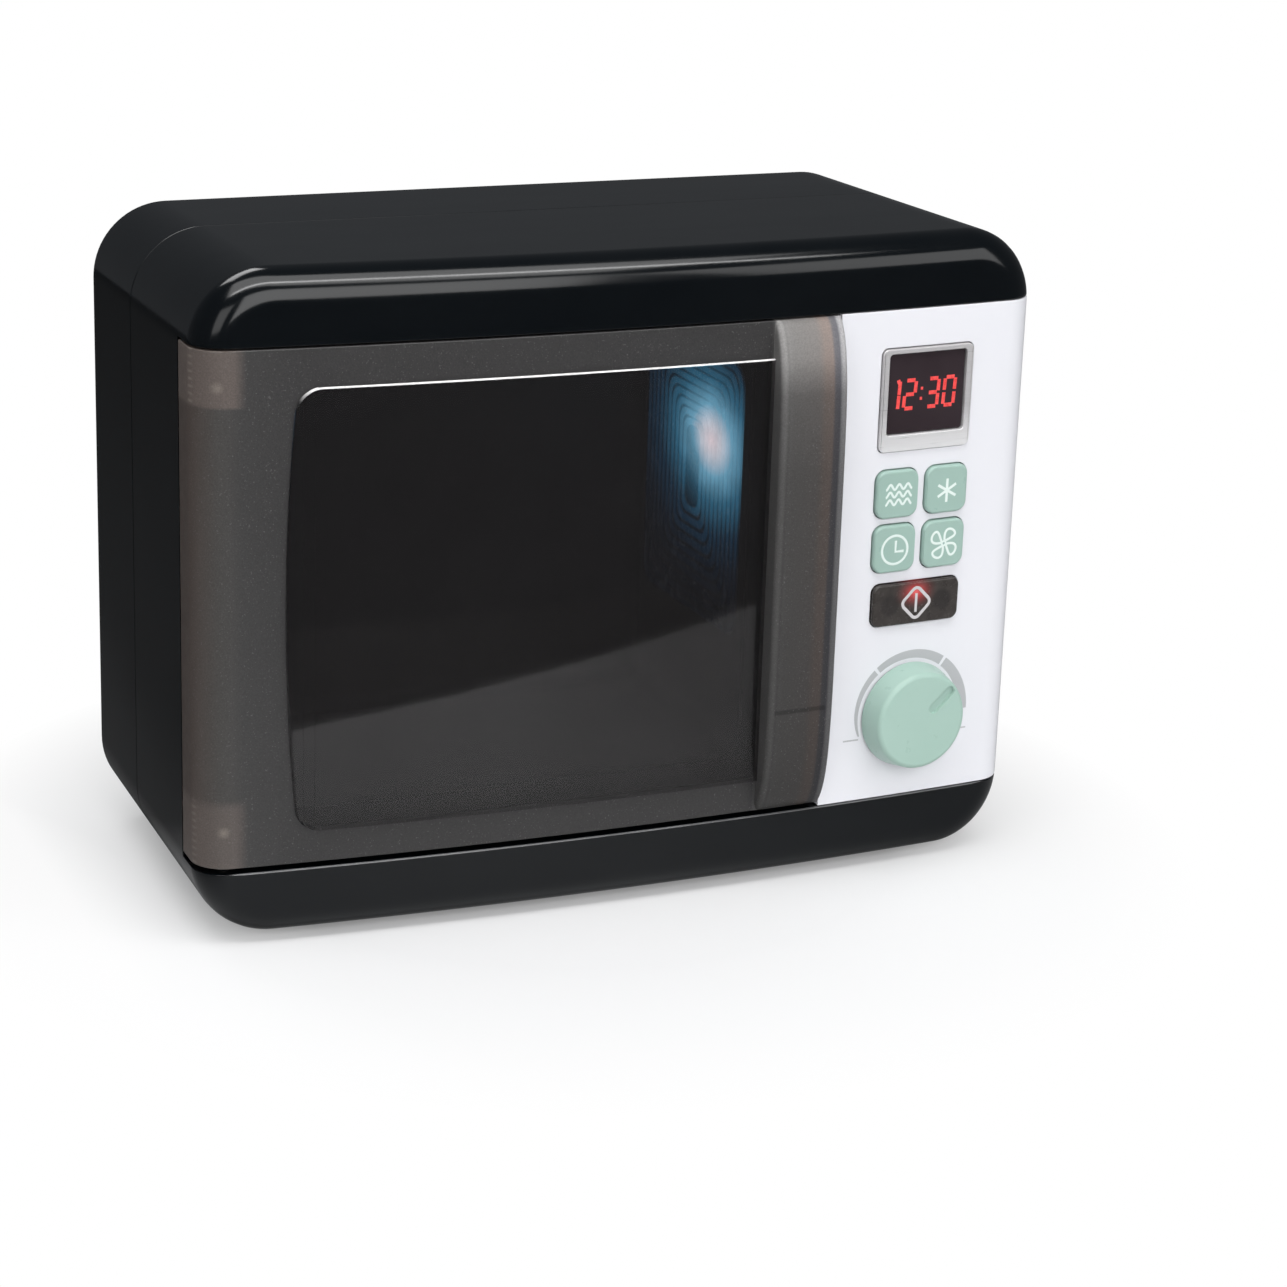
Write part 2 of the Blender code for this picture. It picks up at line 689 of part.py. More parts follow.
def add_front_holes(shape):
    """Bores for the housing screws, hinge pins, panel screws, feet and the catch tongue."""
    for x, z in boss_places():
        add_rod(shape, "Y", (x, BOSS_START + WALL, z), SEAM_DEPTH, BOSS_HOLE, BORE_STEPS)
    pin_top = level(RECESS_TOP) + WALL + PIN_BOSS_HEIGHT + CLEARANCE
    pin_start = level(RECESS_TOP) - WALL
    add_rod(shape, "Z", (HINGE_X, HINGE_DEPTH, pin_start), pin_top - pin_start, PIN_RADIUS + CLEARANCE)
    pin_foot = level(RECESS_BOTTOM) - WALL - PIN_BOSS_HEIGHT - CLEARANCE
    pin_length = level(RECESS_BOTTOM) + WALL - pin_foot
    add_rod(shape, "Z", (HINGE_X, HINGE_DEPTH, pin_foot), pin_length, PIN_RADIUS + CLEARANCE)
    for x, z in panel_boss_places():
        add_rod(shape, "Y", (x, RECESS_DEPTH - WALL, z), 3 * WALL, BOSS_HOLE, BORE_STEPS)
    add_peg_holes(shape, FOOT_FRONT)
    slot_x = TONGUE_WIDTH / 2 + 2 * CLEARANCE
    slot_z = TONGUE_THICKNESS / 2 + 2 * CLEARANCE
    add_block(shape, (CATCH_X - slot_x, RECESS_DEPTH - WALL, level(CATCH_HEIGHT) - slot_z),
              (CATCH_X + slot_x + TONGUE_SWING_ROOM, BULKHEAD_BACK + WALL, level(CATCH_HEIGHT) + slot_z))


def add_peg_holes(shape, y):
    """Holes in the underside for the pegs of two feet."""
    for x in (-FOOT_SPREAD, FOOT_SPREAD):
        add_rod(shape, "Z", (x, y, 0), FOOT_PEG_HEIGHT + OVERRUN / 2, FOOT_PEG_RADIUS + CLEARANCE, 8)


def catch_half_height():
    return TONGUE_THICKNESS / 2 + CLEARANCE + CATCH_LEAF


def add_catch_pocket(shape):
    """Two level ribs on the back of the bulkhead that hold the catch spring between them."""
    inner = catch_half_height() + CLEARANCE
    for sign in (-1, 1):
        near, far = sorted((sign * inner, sign * (inner + CATCH_POCKET)))
        add_block(shape, (CATCH_X - TONGUE_WIDTH / 2, BULKHEAD_BACK - WALL / 2, level(CATCH_HEIGHT) + near),
                  (CATCH_X + TONGUE_WIDTH / 2, BULKHEAD_BACK + CATCH_LENGTH, level(CATCH_HEIGHT) + far))


def door_catch():
    """Folded spring: two level leaves that grip the door's tongue, joined at the back."""
    outer = catch_half_height()
    inner = outer - CATCH_LEAF
    start = BULKHEAD_BACK + CLEARANCE
    back = TONGUE_REACH + 2 * CLEARANCE
    half = TONGUE_WIDTH / 2
    middle = level(CATCH_HEIGHT)
    low = (CATCH_X - half, start, middle - outer)
    high = (CATCH_X + half, back + CATCH_BASE, middle + outer)
    spring = as_object("door_catch", block(low, high), steel())
    low = (CATCH_X - TONGUE_WIDTH, start - OVERRUN, middle - inner)
    high = (CATCH_X + TONGUE_WIDTH, back, middle + inner)
    return cut(spring, block(low, high), "slot")


def rear_shell():
    """Rear housing: lapped rim, screw wells, battery opening, speaker ring and grille."""
    shell = as_object("rear_shell", envelope(0), gloss_black())
    half = BODY_WIDTH / 2 + OVERRUN
    high = BODY_HEIGHT + OVERRUN
    seam = SEAM_DEPTH + CLEARANCE / 2
    cut(shell, block((-half, -OVERRUN, -OVERRUN), (half, seam, high)), "before_seam")
    tongue = as_object("rear_shell_tongue", envelope(LAP_WALL + CLEARANCE))
    keep(tongue, block((-half, seam - LAP_LENGTH, -OVERRUN), (half, seam + LAP_LENGTH, high)), "length")
    combine(shell, tongue, "UNION")
    cut(shell, envelope(WALL), "hollow")
    posts = bmesh.new()
    add_screw_bosses(posts, seam, REAR_INNER + WALL / 2)
    add_rod(posts, "Y", (BATTERY_X, REAR_INNER - SPEAKER_RING_HEIGHT, level(SPEAKER_HEIGHT)),
            SPEAKER_RING_HEIGHT + WALL / 2, SPEAKER_RADIUS + CLEARANCE + SPEAKER_RING_WALL, SPEAKER_STEPS)
    join(shell, posts, "posts")
    ribs = bmesh.new()
    add_screw_webs(ribs, seam, REAR_INNER)
    for share in RIB_PLACE_SHARES:
        x = MOUTH_LEFT + share * (MOUTH_RIGHT - MOUTH_LEFT)
        add_block(ribs, (x, LINER_DEPTH + LINER_WALL + CLEARANCE, MIDDLE_Z - RIB_HEIGHT / 2),
                  (x + RIB_THICKNESS, REAR_INNER + WALL / 2, MIDDLE_Z + RIB_HEIGHT / 2))
    combine(shell, inner_fittings("rear_shell_ribs", ribs), "UNION")
    cut(shell, rear_bores(True), "wells")
    cut(shell, rear_bores(False), "bores")
    cut(shell, rear_openings(), "openings")
    return shell


def rear_bores(seat_side):
    """Bores from the rear: the screw wells down to their seats, or what lies beyond the seats."""
    shape = bmesh.new()
    seat = SEAM_DEPTH + WELL_SEAT
    for x, z in boss_places():
        if seat_side:
            add_rod(shape, "Y", (x, seat, z), BODY_DEPTH, SCREW_HEAD_RADIUS + CLEARANCE, 14)
        else:
            length = OVERRUN + WELL_SEAT + WALL
            add_rod(shape, "Y", (x, SEAM_DEPTH - OVERRUN, z), length, BOSS_HOLE, BORE_STEPS)
    if seat_side:
        add_rod(shape, "Y", (BATTERY_X, SEAM_DEPTH, level(SPEAKER_HEIGHT)), REAR_INNER - SEAM_DEPTH,
                SPEAKER_RADIUS + CLEARANCE, SPEAKER_STEPS)
        return shape
    add_peg_holes(shape, FOOT_REAR)
    return shape


def rear_openings():
    """Battery opening and the slots of the speaker grille."""
    low, high = cover_corners()
    shape = rounded_block((low[0] - CLEARANCE, REAR_INNER - WALL, low[1] - CLEARANCE),
                          (high[0] + CLEARANCE, BODY_DEPTH + WALL, high[1] + CLEARANCE), "Y", COVER_RADIUS)
    for row in range(GRILLE_ROWS):
        rise = (row - (GRILLE_ROWS - 1) / 2) * GRILLE_PITCH
        reach = math.sqrt(GRILLE_RADIUS ** 2 - rise ** 2)
        z = level(SPEAKER_HEIGHT) + rise
        low = (BATTERY_X - reach, REAR_INNER - WALL, z - GRILLE_SLOT / 2)
        high = (BATTERY_X + reach, BODY_DEPTH + WALL, z + GRILLE_SLOT / 2)
        add_rounded_block(shape, low, high, "Y", GRILLE_SLOT * SLOT_END_SHARE, 1)
    return shape


def cavity_liner():
    """Oven cavity: open-fronted tub with a flange against the bulkhead and a window for the lamp lens."""
    grow = LINER_WALL
    tub = as_object("cavity_liner", liner_block(grow, LINER_FRONT, LINER_DEPTH + LINER_WALL), inner_grey())
    join(tub, mouth_prism(LINER_FRONT, LINER_FRONT + LINER_WALL, LINER_FLANGE), "flange")
    cut(tub, liner_block(0, LINER_FRONT - OVERRUN, LINER_DEPTH), "hollow")
    low = (MOUTH_RIGHT - OVERRUN / 2, LENS_FRONT, level(LENS_BOTTOM))
    high = (MOUTH_RIGHT + OVERRUN / 2, LENS_BACK, level(LENS_TOP))
    cut(tub, rounded_block(low, high, "X", LENS_RADIUS), "lens_window")
    return tub


def liner_block(grow, y_start, y_end):
    """Tapering body of the tub or of its hollow."""
    shape = mouth_prism(y_start, y_end, grow)
    centre_x = (MOUTH_LEFT + MOUTH_RIGHT) / 2
    centre_z = level((MOUTH_BOTTOM + MOUTH_TOP) / 2)
    half_x = (MOUTH_RIGHT - MOUTH_LEFT) / 2
    half_z = (MOUTH_TOP - MOUTH_BOTTOM) / 2
    for vert in shape.verts:
        draw_in = LINER_DRAFT * max(0, vert.co.y - LINER_FRONT) / LINER_DEPTH
        vert.co.x = centre_x + (vert.co.x - centre_x) * (1 - draw_in / half_x)
        vert.co.z = centre_z + (vert.co.z - centre_z) * (1 - draw_in / half_z)
    return shape


def lamp_lens():
    """Clear lens on the outside of the cavity's right wall, with concentric ribs towards the oven."""
    plate = MOUTH_RIGHT + LINER_WALL + CLEARANCE
    raised = plate - LINER_WALL - LINER_DRAFT
    lens = as_object("lamp_lens", lens_block(plate, plate + LENS_THICKNESS, -LENS_FLANGE), clear_plastic())
    for ring in range(LENS_RINGS):
        inset = ring * LENS_RIB_PITCH + CLEARANCE
        join(lens, lens_block(raised, plate + LENS_THICKNESS / 2, inset), f"rib_{ring}")
        groove = lens_block(raised - OVERRUN, raised + LENS_RIB_RISE, inset + LENS_RIB_WIDTH)
        cut(lens, groove, f"groove_{ring}")
    half = LAMP_BOARD_SIZE / 2 + CLEARANCE
    y, z = LAMP_Y, level(LAMP_HEIGHT)
    reach = lamp_board_x() + BOARD_THICKNESS
    outer = half + LAMP_HOLDER_WALL
    holder = block((plate + LENS_THICKNESS / 2, y - outer, z - outer), (reach, y + outer, z + outer))
    join(lens, holder, "holder")
    seat = block((plate + LENS_THICKNESS, y - half, z - half), (reach + OVERRUN, y + half, z + half))
    return cut(lens, seat, "seat")


def lens_block(x_start, x_end, inset):
    """Rounded block a given distance inside the lens window's outline."""
    low = (x_start, LENS_FRONT + inset, level(LENS_BOTTOM) + inset)
    high = (x_end, LENS_BACK - inset, level(LENS_TOP) - inset)
    radius = max(LENS_RADIUS - inset, LENS_RADIUS / 4)
    return rounded_block(low, high, "X", radius, 2 if radius > LENS_RADIUS / 2 else 1)


def lamp_board_x():
    return MOUTH_RIGHT + LINER_WALL + LENS_THICKNESS + 2 * CLEARANCE + LED_LENGTH


def lamp():
    """Cavity lamp: a small board with one round LED that faces the lens."""
    half = LAMP_BOARD_SIZE / 2
    y, z = LAMP_Y, level(LAMP_HEIGHT)
    board_x = lamp_board_x()
    front = board_x - LED_LENGTH
    board = block((board_x, y - half, z - half), (board_x + BOARD_THICKNESS, y + half, z + half))
    item = as_object("lamp_led", board, clear_plastic())
    join(item, rod("X", (front, y, z), LED_LENGTH + BOARD_THICKNESS / 2, LED_RADIUS, 16), "bulb")
    legs = bmesh.new()
    for side in (-1, 1):
        add_rod(legs, "X", (front, y + side * (half - LED_RADIUS), z + side * (half - LED_RADIUS)),
                LED_LENGTH + BOARD_THICKNESS / 2, LED_RADIUS / 2, 10)
    return join(item, legs, "legs")


def door_span(inset):
    """Corners, in X and Z, of the door's block moved inwards by inset."""
    return DOOR_RIGHT - inset, level(DOOR_BOTTOM) + inset, level(DOOR_TOP) - inset


def door():
    """Door: bowed tray round the hinge side, with a raised pane, a hollow grip and hinge lugs."""
    item = as_object("door", envelope(0), smoke_plastic())
    left = -BODY_WIDTH / 2 - OVERRUN
    right, bottom, top = door_span(0)
    keep(item, block((left, -OVERRUN, bottom), (right, DOOR_BACK, top)), "outline")
    pane = as_object("door_pane", envelope(-PANE_RISE))
    keep(pane, pane_prism(), "outline")
    combine(item, pane, "UNION")
    join(item, grip_bar(0), "grip")
    right, bottom, top = door_span(DOOR_WALL)
    hollow = as_object("door_hollow", envelope(DOOR_WALL))
    keep(hollow, block((left, -OVERRUN, bottom), (right, DOOR_BACK + OVERRUN, top)), "outline")
    for low, high in lug_spans():
        combine(hollow, lug(low, high), "DIFFERENCE")
    combine(item, hollow, "DIFFERENCE")
    combine(item, grip_hollow(), "DIFFERENCE")
    middle = level(CATCH_HEIGHT)
    front = GRIP_WALL / 2 - bow(CATCH_X) - grip_rise(0)
    join(item, block((CATCH_X - TONGUE_WIDTH / 2, front, middle - TONGUE_THICKNESS / 2),
                     (CATCH_X + TONGUE_WIDTH / 2, TONGUE_REACH, middle + TONGUE_THICKNESS / 2)), "tongue")
    join(item, block((CATCH_X, front, middle - TONGUE_WEB / 2),
                     (DOOR_RIGHT - DOOR_WALL / 2, DOOR_BACK - DOOR_WALL, middle + TONGUE_WEB / 2)), "web")
    bores = bmesh.new()
    add_rod(bores, "Z", (HINGE_X, HINGE_DEPTH, level(DOOR_TOP) - TOP_LUG_HEIGHT + WALL), TOP_LUG_HEIGHT,
            PIN_RADIUS + CLEARANCE, 16)
    add_rod(bores, "Z", (HINGE_X, HINGE_DEPTH, level(DOOR_BOTTOM) - WALL), BOTTOM_LUG_HEIGHT,
            PIN_RADIUS + CLEARANCE, 16)
    cut(item, bores, "pin_bores")
    place_origin(item, (HINGE_X, HINGE_DEPTH, 0))
    return item


def lug_spans():
    """Lower and upper ends of the two hinge lugs."""
    return (
        (level(DOOR_BOTTOM), level(DOOR_BOTTOM) + BOTTOM_LUG_HEIGHT),
        (level(DOOR_TOP) - TOP_LUG_HEIGHT, level(DOOR_TOP)),
    )


def lug(low, high):
    """Solid lug between the door's skin and the hinge pin, with a round back."""
    left = -BODY_WIDTH / 2 - OVERRUN
    item = as_object("lug", block((left, -OVERRUN, low), (left + OVERRUN + LUG_LENGTH, HINGE_DEPTH, high)))
    return join(item, rod("Z", (HINGE_X, HINGE_DEPTH, low), high - low, HINGE_BOSS_RADIUS, 24), "boss")


def pane_prism():
    """Outline of the raised pane: rounded corners, with the hinge side bulging a little."""
    low = (PANE_LEFT, -OVERRUN, level(PANE_BOTTOM))
    high = (PANE_RIGHT, 0, level(PANE_TOP))
    shape = rounded_block(low, high, "Y", PANE_RADIUS, 5)
    middle = level((PANE_BOTTOM + PANE_TOP) / 2)
    half = (PANE_TOP - PANE_BOTTOM) / 2
    flat = half - PANE_RADIUS
    for step in range(1, PANE_STEPS):
        z = middle + flat * (2 * step / PANE_STEPS - 1)
        split_at(shape, None, (0, 0, z), (0, 0, 1))
    for vert in shape.verts:
        if vert.co.x < PANE_LEFT + PANE_RADIUS / 4:
            vert.co.x -= PANE_BULGE * (1 - ((vert.co.z - middle) / half) ** 2)
    return shape


def grip_rise(height_share):
    """Forward bulge of the grip; the share runs from minus one at its foot to one at its head."""
    return GRIP_RISE * (1 - min(1, abs(height_share)) ** GRIP_POWER) ** GRIP_SHOULDER_POWER - GRIP_SINK


def grip_bar(inset):
    """Upright bar of the grip, bulging forward between its ends, moved inwards by inset."""
    left, right = GRIP_LEFT + inset, DOOR_RIGHT - inset
    bottom, top = level(DOOR_BOTTOM) + inset, level(DOOR_TOP) - inset
    middle = (bottom + top) / 2
    half = (top - bottom) / 2
    shape = block((left, -OVERRUN, bottom), (right, 0, top))
    for step in range(1, GRIP_STEPS):
        z = middle + half * math.sin(math.pi * (step / GRIP_STEPS - 1 / 2))
        split_at(shape, None, (0, 0, z), (0, 0, 1))
    front = [vert for vert in shape.verts if vert.co.y < -OVERRUN / 2]
    for vert in front:
        vert.co.y = inset - bow(vert.co.x) - grip_rise((vert.co.z - middle) / half)
    crest = []
    for edge in shape.edges:
        first, last = edge.verts
        if first in front and last in front and abs(first.co.x - last.co.x) < 2 * CLEARANCE:
            crest.append(edge)
    radius = GRIP_EDGE - inset / 2
    bmesh.ops.bevel(shape, geom=crest, offset=radius, segments=3, profile=0.5, affect="EDGES")
    return shape


def grip_hollow():
    """Hollow behind the grip, in two pockets with a stiffening rib between them."""
    item = as_object("door_grip_pocket", grip_bar(GRIP_WALL))
    rib = level(GRIP_RIB_HEIGHT)
    return cut(item, block((GRIP_LEFT, -2 * OVERRUN, rib), (DOOR_RIGHT, OVERRUN, rib + GRIP_RIB)), "rib")


def place_origin(item, point):
    """Move an object's origin, with its shape left where it is."""
    item.data.transform(Matrix.Translation(-Vector(point)))
    item.location = point


def hinge_pin(name, seat, tip):
    """Steel pin along Z, with its head on the outside of its boss."""
    data = profile_mesh(name, [
        (0, PIN_HEAD_HEIGHT), (PIN_HEAD_RADIUS, PIN_HEAD_HEIGHT), (PIN_HEAD_RADIUS, 0),
        (PIN_RADIUS, 0), (PIN_RADIUS, -abs(seat - tip)), (0, -abs(seat - tip)),
    ], steel())
    turn = Matrix() if seat > tip else Matrix.Rotation(math.pi, 4, "X")
    return turned(name, data, 16, Matrix.Translation((HINGE_X, HINGE_DEPTH, seat)) @ turn)


def hinge_pins():
    """Pins above and below the door."""
    top_seat = level(RECESS_TOP) + WALL + PIN_BOSS_HEIGHT + CLEARANCE
    hinge_pin("upper_hinge_pin", top_seat, level(DOOR_TOP) - TOP_LUG_HEIGHT + WALL + PIN_TIP_GAP)
    foot_seat = level(RECESS_BOTTOM) - WALL - PIN_BOSS_HEIGHT - CLEARANCE
    hinge_pin("lower_hinge_pin", foot_seat, level(DOOR_BOTTOM) + BOTTOM_LUG_HEIGHT - WALL - PIN_TIP_GAP)


def panel_boss_places():
    """Centres, in X and Z, of the bosses at the corners of the control panel."""
    left = PANEL_LEFT + PANEL_BOSS_INSET
    right = BODY_WIDTH / 2 - PANEL_BOSS_SIDE_INSET
    bottom = level(PANEL_BOTTOM) + PANEL_BOSS_INSET
    top = level(PANEL_TOP) - PANEL_BOSS_INSET
    return [(x, z) for x in (left, right) for z in (bottom, top)]


def control_prism(width, bottom, top, radius, grow=0, y_start=-OVERRUN, y_end=OVERRUN):
    """Rounded outline on the control panel, centred on the column of controls."""
    low = (CONTROL_X - width / 2 - grow, y_start, level(bottom) - grow)
    high = (CONTROL_X + width / 2 + grow, y_end, level(top) + grow)
    return rounded_block(low, high, "Y", radius + grow)


def button_places():
    """Names and centres, in X and height, of the four square buttons."""
    half_x, half_z = BUTTON_PITCH_X / 2, BUTTON_PITCH_Z / 2
    return (
        ("grill_button", CONTROL_X - half_x, BUTTON_ROWS_HEIGHT + half_z),
        ("defrost_button", CONTROL_X + half_x, BUTTON_ROWS_HEIGHT + half_z),
        ("clock_button", CONTROL_X - half_x, BUTTON_ROWS_HEIGHT - half_z),
        ("fan_button", CONTROL_X + half_x, BUTTON_ROWS_HEIGHT - half_z),
    )


def add_button_prism(shape, x, height, grow):
    low = (x - BUTTON_WIDTH / 2 - grow, -OVERRUN, level(height) - BUTTON_HEIGHT / 2 - grow)
    high = (x + BUTTON_WIDTH / 2 + grow, BOARD_FRONT, level(height) + BUTTON_HEIGHT / 2 + grow)
    add_rounded_block(shape, low, high, "Y", BUTTON_RADIUS + grow)


def button_prism(x, height, grow=0):
    shape = bmesh.new()
    add_button_prism(shape, x, height, grow)
    return shape


def control_panel():
    """White panel: bowed tray round the right side, with openings, posts and the knob's bearing."""
    item = as_object("control_panel", envelope(0), white_plastic())
    right = BODY_WIDTH / 2 + OVERRUN
    bottom, top = level(PANEL_BOTTOM), level(PANEL_TOP)
    keep(item, block((PANEL_LEFT, -OVERRUN, bottom), (right, DOOR_BACK, top)), "outline")
    hollow = as_object("control_panel_hollow", envelope(PANEL_WALL))
    low = (PANEL_LEFT + PANEL_WALL, -OVERRUN, bottom + PANEL_WALL)
    keep(hollow, block(low, (right, DOOR_BACK + OVERRUN, top - PANEL_WALL)), "outline")
    combine(item, hollow, "DIFFERENCE")
    bosses = bmesh.new()
    for x, z in panel_boss_places():
        start = PANEL_WALL / 2 - bow(x)
        add_rod(bosses, "Y", (x, start, z), DOOR_BACK - start, PANEL_BOSS_RADIUS, BOSS_STEPS)
    for x, z in board_hole_places():
        start = PANEL_WALL / 2 - bow(x)
        add_rod(bosses, "Y", (x, start, z), BOARD_FRONT - CLEARANCE - start, BOARD_POST_RADIUS, BOSS_STEPS)
    join(item, bosses, "bosses")
    bearing = as_object("control_panel_bearing", knob_bearing())
    place_on_knob_axis(bearing)
    combine(item, bearing, "UNION")
    cut(item, panel_openings(), "openings")
    whole = rod("Z", (0, 0, -BEARING_LENGTH - OVERRUN), 2 * OVERRUN, KNOB_STEM_RADIUS + CLEARANCE, 24)
    bore = as_object("control_panel_bore", whole)
    place_on_knob_axis(bore)
    combine(item, bore, "DIFFERENCE")
    return item


def panel_openings():
    """Openings for the display, the buttons and the screws."""
    shape = control_prism(BEZEL_WIDTH, BEZEL_BOTTOM, BEZEL_TOP, BEZEL_RADIUS, CLEARANCE)
    for _, x, height in button_places():
        add_button_prism(shape, x, height, CLEARANCE)
    copy_into(shape, control_prism(START_WIDTH, START_BOTTOM, START_TOP, START_RADIUS, CLEARANCE))
    for x, z in panel_boss_places():
        add_rod(shape, "Y", (x, DOOR_BACK - PANEL_SCREW_LENGTH, z), OVERRUN, BOSS_HOLE, BORE_STEPS)
    for x, z in board_hole_places():
        add_rod(shape, "Y", (x, BOARD_FRONT - BOARD_SCREW_LENGTH, z), OVERRUN, BOSS_HOLE, BORE_STEPS)
    return shape


def copy_into(shape, other):
    """Add another bmesh to a shape."""
    data = bpy.data.meshes.new("copied")
    other.to_mesh(data)
    other.free()
    shape.from_mesh(data)
    bpy.data.meshes.remove(data)


def knob_tilt():
    """Angle by which the bowed panel turns away from the front at the knob."""
    return math.atan(8 * FRONT_BOW * CONTROL_X / BODY_WIDTH ** 2)


def knob_centre():
    """Point on the panel's front where the knob's axis passes through it."""
    return Vector((CONTROL_X, -bow(CONTROL_X), level(KNOB_HEIGHT_ON_PANEL)))


def place_on_knob_axis(item):
    """Stand an object on the panel at the knob, with its Z axis pointing out of the panel."""
    item.location = knob_centre()
    item.rotation_euler = (math.pi / 2, 0, knob_tilt())


def item_on_axis(rise):
    """World matrix of a place on the knob's axis, a given distance in front of the panel."""
    turn = Matrix.Rotation(knob_tilt(), 4, "Z") @ Matrix.Rotation(math.pi / 2, 4, "X")
    return Matrix.Translation(knob_centre()) @ turn @ Matrix.Translation((0, 0, rise))


def stop_angles():
    """Places of the two stops, beyond the ends of the tab's swing."""
    margin = math.asin((TAB_WIDTH / 2 + STOP_RADIUS + CLEARANCE) / (TAB_REACH - STOP_RADIUS))
    rest = POINTER_ANGLE
    return rest - KNOB_TURN_DOWN - margin, rest + KNOB_TURN_UP + margin


def collar_back():
    return -BEARING_LENGTH - CLEARANCE - COLLAR_THICKNESS


def knob_bearing():
    """Bearing tube, two stops and the holder of the click spring, on the back of the panel."""
    shape = rod("Z", (0, 0, -BEARING_LENGTH), BEARING_LENGTH - PANEL_WALL / 2, BEARING_RADIUS, 24)
    for angle in stop_angles():
        reach = TAB_REACH - STOP_RADIUS
        add_rod(shape, "Z", (reach * math.cos(angle), reach * math.sin(angle), collar_back()),
                -collar_back() - PANEL_WALL / 2, STOP_RADIUS, 12)
    y = clicker_y()
    half = CLICKER_LENGTH / 2
    slit = CLICKER_THICKNESS / 2 + CLEARANCE
    for side in (-1, 1):
        for face in (-1, 1):
            near, far = sorted((face * slit, face * (slit + 2 * CLICKER_THICKNESS)))
            left, right = sorted((side * (half - CLICKER_NOSE), side * (half + CLICKER_NOSE)))
            add_block(shape, (left, y + near, collar_back()), (right, y + far, -PANEL_WALL / 2))
    return shape


def clicker_y():
    """Place of the click spring's leaf below the knob's axis."""
    return -(COLLAR_RADIUS + CLEARANCE + CLICKER_NOSE + CLICKER_THICKNESS / 2)


def knob():
    """Knob: a hollow cap with a rounded edge and a pointer groove, on a stem through the panel."""
    edge_x, edge_z = KNOB_FACE_RADIUS - KNOB_EDGE, KNOB_RISE - KNOB_EDGE
    turns = [math.radians(angle) for angle in (0, 30, 60, 85)]
    edge = [(edge_x + KNOB_EDGE * math.sin(turn), edge_z + KNOB_EDGE * math.cos(turn)) for turn in turns]
    under = KNOB_RISE - KNOB_WALL
    foot = -BEARING_LENGTH - CLEARANCE
    profile = [(0, KNOB_RISE)] + edge + [
        (KNOB_RADIUS, KNOB_GAP), (KNOB_RADIUS - KNOB_WALL, KNOB_GAP), (KNOB_FACE_RADIUS - KNOB_WALL, under),
        (KNOB_STEM_RADIUS, under), (KNOB_STEM_RADIUS, foot), (0, foot),
    ]
    item = turned("knob", profile_mesh("knob", profile, mint_plastic()), KNOB_STEPS)
    place_on_knob_axis(item)
    reach = KNOB_FACE_RADIUS - POINTER_EDGE_GAP
    groove = rounded_block(
        (reach - POINTER_LENGTH, -POINTER_WIDTH / 2, KNOB_RISE - POINTER_DEPTH),
        (reach, POINTER_WIDTH / 2, KNOB_RISE + OVERRUN), "Z", POINTER_WIDTH * POINTER_END_SHARE, 4,
    )
    turn_to_pointer(groove)
    tool = as_object("knob_pointer_groove", groove)
    place_on_knob_axis(tool)
    combine(item, tool, "DIFFERENCE")
    bore = rod("Z", (0, 0, foot - CLEARANCE), COVER_SCREW_LENGTH, BOSS_HOLE, BORE_STEPS)
    pilot = as_object("knob_pilot", bore)
    place_on_knob_axis(pilot)
    combine(item, pilot, "DIFFERENCE")
    return item


def turn_to_pointer(shape):
    """Turn a shape on the knob's axis from the X direction to where the pointer rests."""
    bmesh.ops.rotate(shape, verts=shape.verts, matrix=Matrix.Rotation(POINTER_ANGLE, 3, "Z"))


def knob_collar():
    """Toothed collar under the stem, with the tab that meets the stops."""
    shape = bmesh.new()
    thickness = COLLAR_THICKNESS - CLEARANCE
    add_rod(shape, "Z", (0, 0, collar_back()), thickness, COLLAR_RADIUS, 2 * COLLAR_TEETH)
    for vert in shape.verts:
        tooth = round(math.atan2(vert.co.y, vert.co.x) / math.pi * COLLAR_TEETH) % 2
        scale = 1 - tooth * COLLAR_TOOTH / COLLAR_RADIUS
        vert.co.x *= scale
        vert.co.y *= scale
    item = as_object("knob_collar", shape, silver_plastic())
    place_on_knob_axis(item)
    half = TAB_WIDTH / 2
    tab = block((0, -half, collar_back()), (TAB_REACH, half, collar_back() + COLLAR_THICKNESS / 2))
    turn_to_pointer(tab)
    tool = as_object("knob_collar_tab", tab)
    place_on_knob_axis(tool)
    combine(item, tool, "UNION")
    whole = rod("Z", (0, 0, collar_back() - OVERRUN), 2 * OVERRUN, BOSS_HOLE, BORE_STEPS)
    bore = as_object("knob_collar_bore", whole)
    place_on_knob_axis(bore)
    combine(item, bore, "DIFFERENCE")
    return item


def knob_screw():
    """Screw that holds the collar to the knob's stem, driven from behind."""
    item = turned("knob_screw", profile_mesh("knob_screw", screw_profile(COVER_SCREW_LENGTH), steel()), 12)
    item.matrix_world = item_on_axis(collar_back() - CLEARANCE) @ Matrix.Rotation(math.pi, 4, "X")
    return item


def click_spring():
    """Leaf spring whose nose rides on the collar's teeth."""
    y = clicker_y()
    half = CLICKER_LENGTH / 2
    start = collar_back() + CLEARANCE
    height = COLLAR_THICKNESS - 2 * CLEARANCE
    low = (-half, y - CLICKER_THICKNESS / 2, start)
    high = (half, y + CLICKER_THICKNESS / 2, start + height)
    item = as_object("click_spring", block(low, high), steel())
    place_on_knob_axis(item)
    nose = rod("Z", (0, y + CLICKER_THICKNESS / 2, start), height, CLICKER_NOSE, 12)
    tool = as_object("click_spring_nose", nose)
    place_on_knob_axis(tool)
    combine(item, tool, "UNION")
    return item


